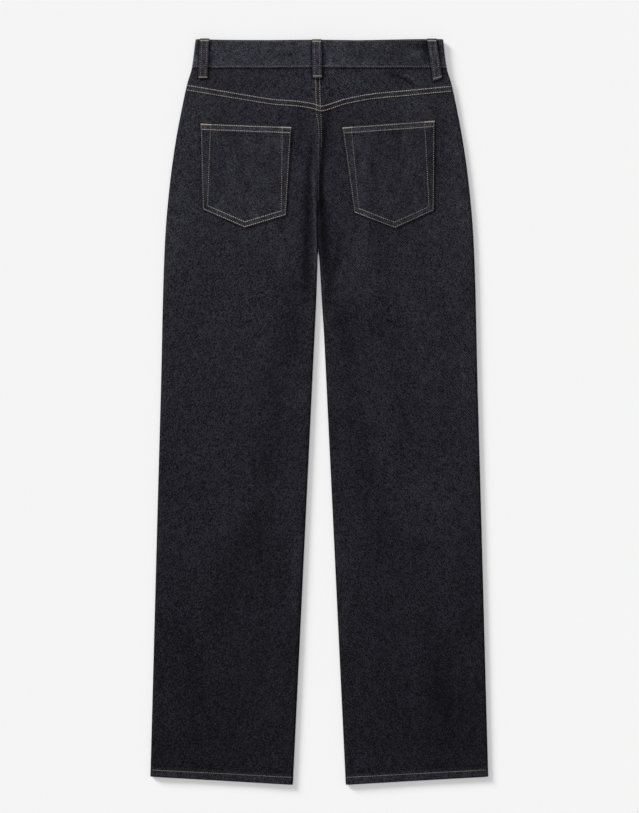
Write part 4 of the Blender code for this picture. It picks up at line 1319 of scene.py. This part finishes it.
class Sewing:
    """All the stitches of one mesh."""

    def __init__(self, seed):
        self.points, self.faces, self.grain, self.shades = [], [], [], []
        self.chance = random.Random(seed)

    def stitch(self, start, end, out, width, light=1.0):
        """One stitch from start to end, standing out of the cloth."""
        along = (end - start).normalized()
        beside = out.cross(along).normalized()
        first = len(self.points)
        length = (end - start).length
        shade = light * self.chance.uniform(0.78, 1.22)
        for share, height, size in STITCH_RINGS:
            middle = start + (end - start) * share + out * (height * width)
            for side in range(THREAD_SIDES):
                angle = math.tau * side / THREAD_SIDES
                reach = beside * math.cos(angle) + out * (0.8 * math.sin(angle))
                self.points.append(middle + reach * (size * width / 2))
                self.grain.append((share * length, side / THREAD_SIDES))
                self.shades.append(shade)
        for ring in range(len(STITCH_RINGS) - 1):
            here, there = first + ring * THREAD_SIDES, first + (ring + 1) * THREAD_SIDES
            for side in range(THREAD_SIDES):
                after = (side + 1) % THREAD_SIDES
                self.faces.append((here + side, here + after, there + after, there + side))
        last = first + (len(STITCH_RINGS) - 1) * THREAD_SIDES
        self.faces.append(tuple(first + side for side in reversed(range(THREAD_SIDES))))
        self.faces.append(tuple(last + side for side in range(THREAD_SIDES)))

    def line(self, path, light=(1.0, 1.0), length=STITCH_LENGTH, width=THREAD_WIDTH):
        """Stitches along a path of points, each with the way out of the cloth there.

        The light is how pale the thread is at the line's start and at its end, which it nears late.
        """
        lengths = running_lengths([point for point, _out in path])

        def place(run):
            after = min(max(bisect_right(lengths, run), 1), len(lengths) - 1)
            share = (run - lengths[after - 1]) / max(lengths[after] - lengths[after - 1], 1e-9)
            (point, out), (next_point, next_out) = path[after - 1], path[after]
            return point.lerp(next_point, share), out.lerp(next_out, share).normalized()

        count = round(lengths[-1] / PITCH)
        pitch = lengths[-1] / count
        for number in range(count):
            start = number * pitch + pitch * self.chance.uniform(-0.05, 0.05)
            pale = light[0] + (light[1] - light[0]) * (number / count) ** 3
            end = start + length * self.chance.uniform(0.93, 1.05)
            (first, out), (last, _out) = place(max(start, 0.0)), place(min(end, lengths[-1]))
            aside = out.cross((last - first).normalized()) * self.chance.uniform(-0.1, 0.1) * MM
            thick = width * self.chance.uniform(0.92, 1.08)
            self.stitch(first + aside, last + aside, out, thick, pale)

    def tack(self, centre, along, out, length=LOOP_TACK, width=TACK_WIDTH, light=1.0):
        """A bartack: close stitches side by side across its length."""
        along = along.normalized()
        beside = out.cross(along).normalized()
        for number in range(int(length / TACK_PITCH)):
            middle = centre + along * (-length / 2 + (number + 0.5) * TACK_PITCH)
            reach = beside * (width / 2 * self.chance.uniform(0.92, 1.08))
            lean = along * (TACK_PITCH * 0.4 * (1 if number % 2 else -1))
            self.stitch(middle - reach - lean, middle + reach + lean, out, TACK_THREAD, light)

    def piece(self, name, kind, slot):
        mesh = bpy.data.meshes.new(name)
        mesh.from_pydata(self.points, [], self.faces)
        mesh.shade_smooth()
        return add_piece(name, grained(mesh, self.grain, self.shades), THREADS[kind], slot)


def offset_line(points, distance):
    """A line beside another, to the left of the way that it runs."""
    moved = []
    for place, (x, y) in enumerate(points):
        (x0, y0), (x1, y1) = points[max(place - 1, 0)], points[min(place + 1, len(points) - 1)]
        length = math.dist((x0, y0), (x1, y1))
        moved.append((x - (y1 - y0) / length * distance, y + (x1 - x0) / length * distance))
    return moved


def inset_corners(corners, insets):
    """Corners of a shape whose edges are each moved in by their own distance."""
    area = sum(a[0] * b[1] - a[1] * b[0] for a, b in zip(corners, [*corners[1:], corners[0]]))
    inward = math.copysign(1.0, area)
    lines = []
    for (x0, y0), (x1, y1), inset in zip(corners, [*corners[1:], corners[0]], insets):
        length = math.dist((x0, y0), (x1, y1))
        normal = (-(y1 - y0) / length * inward, (x1 - x0) / length * inward)
        lines.append((normal, normal[0] * x0 + normal[1] * y0 + inset))
    made = []
    for (a, p), (b, q) in zip([lines[-1], *lines[:-1]], lines):
        cross = a[0] * b[1] - a[1] * b[0]
        made.append(((p * b[1] - q * a[1]) / cross, (a[0] * q - b[0] * p) / cross))
    return made


def finely(points, step=2 * MM):
    """A line's points with more between them, so that it can follow the cloth."""
    made = [points[0]]
    for start, end in zip(points, points[1:]):
        count = max(round(math.dist(start, end) / step), 1)
        made += [between(start, end, number / count) for number in range(1, count + 1)]
    return made


def laid_on(points, face, out):
    """A path on the cloth over flat points."""
    return [(Vector((x, y, face(x, y))), Vector((0, 0, out))) for x, y in finely(points)]


def pocket_face(corners, x, y):
    return back_face(x, y) + LAID_CLEARANCE + pocket_rise(corners, x, y)


# How far the two lines of the centre back seam lie to the left of it at each height, in millimetres
SEAM_LINE_NEAR = ((375, 0.7), (391, 0.8), (408, 1.1), (414, 1.6), (430, 2.0))
SEAM_LINE_FAR = (
    (303, 0.3), (312, 0.7), (329, 1.7), (351, 3.6), (368, 4.7), (380, 5.0), (391, 4.3), (408, 5.3),
    (414, 6.2), (420, 7.6),
)
# Those lines' lowest heights in millimetres, and how pale they are there
SEAM_LINES = ((SEAM_LINE_NEAR, 376, 0.45), (SEAM_LINE_FAR, 300, 0.2))
# Their top, and how far they stop from the yoke seam, both in millimetres
SEAM_LINE_TOP, YOKE_LINE_ROOM = 486, 1.5
YOKE_LINE_REACH, YOKE_MIDDLE = 188 * MM, 430 * MM
YOKE_STITCH_LENGTH, YOKE_THREAD = 2.45 * MM, 1.0 * MM


def sew_back():
    """Twin lines of the yoke seam and of the centre back seam."""
    sewing = Sewing(11)
    xs = spaced(-YOKE_LINE_REACH, YOKE_LINE_REACH, 240)
    for rise, light in ((EDGE_STITCH, 1.0), (EDGE_STITCH + TWIN_SPACING, 1.2)):
        points = [(x, yoke_edge(x) + rise) for x in xs]
        sewing.line(laid_on(points, back_face, UP), (light, light), YOKE_STITCH_LENGTH, YOKE_THREAD)
    crossing = yoke_edge(curve_value(CENTRE_BACK, YOKE_MIDDLE)) / MM
    for table, low, pale in SEAM_LINES:
        on_legs = (low, crossing - YOKE_LINE_ROOM, (pale, 1.0))
        on_yokes = (crossing + YOKE_LINE_ROOM, SEAM_LINE_TOP, (1.1, 1.0))
        for start, end, light in (on_legs, on_yokes):
            heights = [height * MM for height in spaced(start, end, 60)]
            points = [(curve_value(CENTRE_BACK, y) - curve_value(table, y), y) for y in heights]
            sewing.line(laid_on(points, back_face, UP), light)
    return sewing.piece("stitches_back_seams", "thread_tan", "thread_grey")


def sew_hems():
    made = []
    for word, side in SIDES:
        sewing = Sewing(21 + side)
        for table, face, out in ((CENTRE_BACK, back_face, UP), (CENTRE_FRONT, front_face, DOWN)):
            inner = inner_edge(table, side, -HALF_LENGTH) + HEM_INNER_ROOM
            outer = half_width(-HALF_LENGTH) - HEM_OUTER_ROOM
            xs = [side * x for x in spaced(inner, outer, 60)]
            points = [(x, hem_y(x) + stitch_height(x)) for x in xs]
            path = laid_on(points, face, out)
            sewing.line(path, (HEM_LIGHT, HEM_LIGHT), HEM_STITCH_LENGTH, HEM_THREAD)
        made.append(sewing.piece(f"stitches_hem_{word}", "thread_tan", "thread_grey"))
    return made


# How pale the back pockets' lines of sewing are: down the sides, along the bottom, along the top edge
# and under it. On the left pocket those that run across are paler, painted light that they catch from
# above.
POCKET_LIGHTS = {
    "left": ((0.78, 0.78), (1.1, 1.1), 1.05, 1.0),
    "right": ((0.70, 0.70), (0.5, 1.1), 0.70, 0.70),
}


def sew_pocket(word):
    corners = pocket_corners(BACK_POCKETS[word])
    sewing, tacks = Sewing(31), Sewing(41)

    def face(x, y):
        return pocket_face(corners, x, y)

    outer = inset_corners(corners, [EDGE_STITCH] * 5)
    wide, narrow, under, hem = 14.4 * MM, 7.2 * MM, 7.9 * MM, 8.4 * MM
    high = inset_corners(corners, [wide, under, under, wide - 1.6 * MM, EDGE_STITCH])
    low = inset_corners(corners, [narrow, under, under, narrow, EDGE_STITCH])
    ends = inset_corners(corners, [EDGE_STITCH] * 4 + [hem])
    down, level, top, second = POCKET_LIGHTS[word]
    for line in (outer, [high[0], *low[1:4], high[4]]):
        sewing.line(laid_on(line[0:2], face, UP), down)
        sewing.line(laid_on(line[1:4], face, UP), level, 2.35 * MM)
        sewing.line(laid_on(line[3:5], face, UP), down)
    sewing.line(laid_on([outer[4], outer[0]], face, UP), (top, top), 2.75 * MM, 1.15 * MM)
    sewing.line(laid_on([ends[4], ends[0]], face, UP), (second, second), 2.7 * MM, 1.0 * MM)
    for inset, other in ((outer[0], outer[4]), (outer[4], outer[0])):
        along = (Vector(other) - Vector(inset)).normalized()
        middle = Vector(inset) + along * (POCKET_TACK / 2 - 1.2 * MM)
        centre = Vector((middle.x, middle.y, face(*middle)))
        tacks.tack(centre, Vector((along.x, along.y, 0)), Vector((0, 0, 1)), length=POCKET_TACK)
    return [
        sewing.piece(f"stitches_back_pocket_{word}", "thread_tan", "thread_grey"),
        tacks.piece(f"bartacks_back_pocket_{word}", "thread_gold", "thread_gold"),
    ]


def sew_waistband():
    """A line along each edge of the band, all the way round."""
    sewing = Sewing(51)
    for share_up, light in ((BAND_STITCH / BAND_HEIGHT, 1.45), (1 - BAND_STITCH / BAND_HEIGHT, 1.2)):
        path = [band_point(station, share_up, band_relief(station, share_up))
                for station in band_stations()[1:-1]]
        sewing.line(path, (light, light), LONG_STITCH)
    return sewing.piece("stitches_waistband", "thread_grey", "thread_grey")


# Height of each back loop's lower bartack over the loop's end, in millimetres, and how pale it is
LOW_TACKS = {"belt_loop_back_left": (1.2, 0.50), "belt_loop_back_centre": (2.5, 0.55),
             "belt_loop_back_right": (2.5, 0.42)}
FRONT_LOW_TACK = (1.6, 0.7)
HIGH_TACK_DEPTH, HIGH_TACK_LIGHT, HIGH_TACK_WIDTH = 3.0 * MM, 0.64, 2.4 * MM
LOOP_LINE_START, LOOP_LINE_ROOM = 1.5 * MM, 3.0 * MM


def sew_loop(name, line, low_face, thickness, outer, slant):
    """Two lines along a loop and a bartack at each end."""
    sewing, tacks = Sewing(61), Sewing(71)
    out = Vector((0, 0, outer))
    span = (line[2] - line[3]) * MM

    def on_loop(across, height):
        """The point of the loop's outer face at a height above its lower end."""
        share = height / span
        x, y = loop_point(line, share)
        low = low_face(x, y, share)
        z = low + thickness if outer == UP else low
        return Vector((x + across, slanted(y, share, across, slant), z - outer * loop_relief(across)))

    for across in (LOOP_STITCH - LOOP_WIDTH / 2, LOOP_WIDTH / 2 - LOOP_STITCH):
        heights = spaced(LOOP_LINE_START, span - LOOP_LINE_ROOM, 40)
        sewing.line([(on_loop(across, height), out) for height in heights])
    low, pale = LOW_TACKS.get(name, FRONT_LOW_TACK)
    low_tack = (low * MM, pale, TACK_WIDTH)
    high_tack = (span - HIGH_TACK_DEPTH, HIGH_TACK_LIGHT, HIGH_TACK_WIDTH)
    for height, light, width in (low_tack, high_tack):
        ends = [on_loop(across, height) for across in (-LOOP_TACK / 2, LOOP_TACK / 2)]
        centre = on_loop(0.0, height) + out * 0.1 * MM
        tacks.tack(centre, ends[1] - ends[0], out, width=width, light=light)
    return [
        sewing.piece(f"stitches_{name}", "thread_brown", "thread_grey"),
        tacks.piece(f"bartacks_{name}", "thread_cream", "thread_gold"),
    ]


def sew_front():
    """The fly's curved lines and the scoop pockets' mouths."""
    sewing = Sewing(81)
    for inset in (0.0, TWIN_SPACING):
        x = FLY_LINE_X + inset
        fly = [(x, FLY_LINE_TOP), (x, FLY_BEND)]
        for angle in spaced(0.0, math.pi / 2, 12)[1:]:
            fly.append((x + (FLY_LINE_END_X - x) * (1 - math.cos(angle)),
                        FLY_BEND - (FLY_BEND_HEIGHT - inset) * math.sin(angle)))
        sewing.line(laid_on(fly, front_face, DOWN))
    for side in (LEFT, RIGHT):
        outer = half_width(WAIST_SEAM - SCOOP_DEPTH) - 4 * MM
        inner = SCOOP_START + 1 * MM
        mouth = [(side * x, mouth_y(x)) for x in spaced(inner, outer, 40)]
        for inset in (EDGE_STITCH, EDGE_STITCH + TWIN_SPACING):
            sewing.line(laid_on(offset_line(mouth, -side * inset), front_face, DOWN))
    return sewing.piece("stitches_front", "thread_tan", "thread_grey")


# The buttonhole's height and left end, how many stitches each side has and how far apart, and how
# far from the slot each starts and ends
BUTTONHOLE_Y, BUTTONHOLE_START = 498 * MM, -15 * MM
BUTTONHOLE_STITCHES, BUTTONHOLE_PITCH = 34, 0.62 * MM
BUTTONHOLE_NEAR, BUTTONHOLE_FAR = 0.3 * MM, 2.0 * MM
BUTTONHOLE_THREAD, BUTTONHOLE_LIFT = 0.5 * MM, 0.05 * MM


def buttonhole():
    """Close stitches round the slot that the button passes through, on the band's outer end."""
    sewing = Sewing(91)
    for edge in (-1, 1):
        for number in range(BUTTONHOLE_STITCHES):
            x = BUTTONHOLE_START + BUTTONHOLE_PITCH * number
            z = waist_lift(x) + BUTTONHOLE_LIFT
            near = Vector((x, BUTTONHOLE_Y + edge * BUTTONHOLE_NEAR, z))
            far = Vector((x, BUTTONHOLE_Y + edge * BUTTONHOLE_FAR, z))
            sewing.stitch(near, far, Vector((0, 0, DOWN)), BUTTONHOLE_THREAD)
    return sewing.piece("stitches_buttonhole", "thread_grey", "thread_grey")


# ---------------------------------------------------------------------------------------------
# The jeans
# ---------------------------------------------------------------------------------------------

# How far the floor reaches each way from the middle, and how far below the jeans it lies, in metres
FLOOR_REACH, FLOOR_DROP = 12.0, 0.2 * MM


def white_floor():
    corners = [(x * FLOOR_REACH, y * FLOOR_REACH, -FLOOR_DROP)
               for x, y in ((-1, -1), (1, -1), (1, 1), (-1, 1))]
    mesh = bpy.data.meshes.new("floor")
    mesh.from_pydata(corners, [], [(0, 1, 2, 3)])
    finish = Finish("white_floor", {"Base Color": (0.9, 0.9, 0.9, 1.0), "Roughness": 1.0,
                                    "Specular IOR Level": 0.0})
    mesh.materials.append(finish.material)
    floor = bpy.data.objects.new("floor", mesh)
    bpy.context.scene.collection.objects.link(floor)
    return floor


floor = white_floor()
front_sewing = [sew_front()]
back_sewing = [sew_back()]
hems = sew_hems()
fronts, backs, yokes, facings, pockets = {}, {}, {}, {}, {}
for word, side in SIDES:
    fronts[word] = front_leg(word, side)
    facings[word] = front_pocket_facing(word, side)
    backs[word] = back_leg(word, side)
    yokes[word] = yoke(word, side)
    pockets[word] = back_pocket(word)
band = waistband()
band_sewing = [sew_waistband(), buttonhole()]
bpy.data.objects["button"].material_slots[0].material = BUTTON_METAL

loops = []
for word, *line, slant in BACK_LOOPS:
    shape = (f"belt_loop_back_{word}", line, back_loop_low, BACK_LOOP_CLOTH, UP, slant)
    loops.append((belt_loop(*shape), "belt_loop_back", sew_loop(*shape)))
for word, *line in FRONT_LOOPS:
    shape = (f"belt_loop_front_{word}", line, lambda x, y, share: 0.0, FRONT_LOOP_CLOTH, DOWN, 0.0)
    loops.append((belt_loop(*shape), "belt_loop_front", sew_loop(*shape)))

for place, (word, _side) in enumerate(SIDES):
    front_sewing if word == "left" else ()
    back_sewing if word == "left" else ()
    sew_pocket(word)
for loop, cut, sewing in loops:
    band if cut == "belt_loop_back" else floor

# ---------------------------------------------------------------------------------------------
# Light and camera
# ---------------------------------------------------------------------------------------------

# Lights: the way they come from, their strength and their softness in degrees
LIGHTS = (
    ("window_light", (-0.68, 0.64, 0.34), 3.54, 18),
    ("ceiling_light", (-0.05, 0.05, 1.0), 1.18, 40),
)
EVEN_LIGHT = 0.254
SENSOR_HEIGHT, FOCAL_LENGTH = 24, 62.3
CAMERA_PLACE = (0.3 * MM, 7.7 * MM, 3.0)

scene = bpy.context.scene
scene.view_settings.view_transform = "Standard"
scene.view_settings.look = "None"
# Yarns and stitches are as fine as the picture's grain, and are to stay in it
scene.cycles.denoising_prefilter = "NONE"

world = bpy.data.worlds.new("even_light")
scene.world = world
world.use_nodes = True
background = world.node_tree.nodes["Background"]
background.inputs["Color"].default_value = (1.0, 1.0, 1.0, 1.0)
background.inputs["Strength"].default_value = EVEN_LIGHT


def soft_light(name, direction, strength, spread):
    """Even light from one direction, softened by its spread in degrees."""
    lamp = bpy.data.lights.new(name, "SUN")
    lamp.energy = strength
    lamp.angle = math.radians(spread)
    light = bpy.data.objects.new(name, lamp)
    scene.collection.objects.link(light)
    light.rotation_euler = Vector(direction).to_track_quat("Z", "Y").to_euler()


for light in LIGHTS:
    soft_light(*light)

lens = bpy.data.cameras.new("camera")
lens.sensor_fit = "VERTICAL"
lens.sensor_height = SENSOR_HEIGHT
lens.lens = FOCAL_LENGTH
camera = bpy.data.objects.new("camera", lens)
camera.location = CAMERA_PLACE
scene.collection.objects.link(camera)
scene.camera = camera
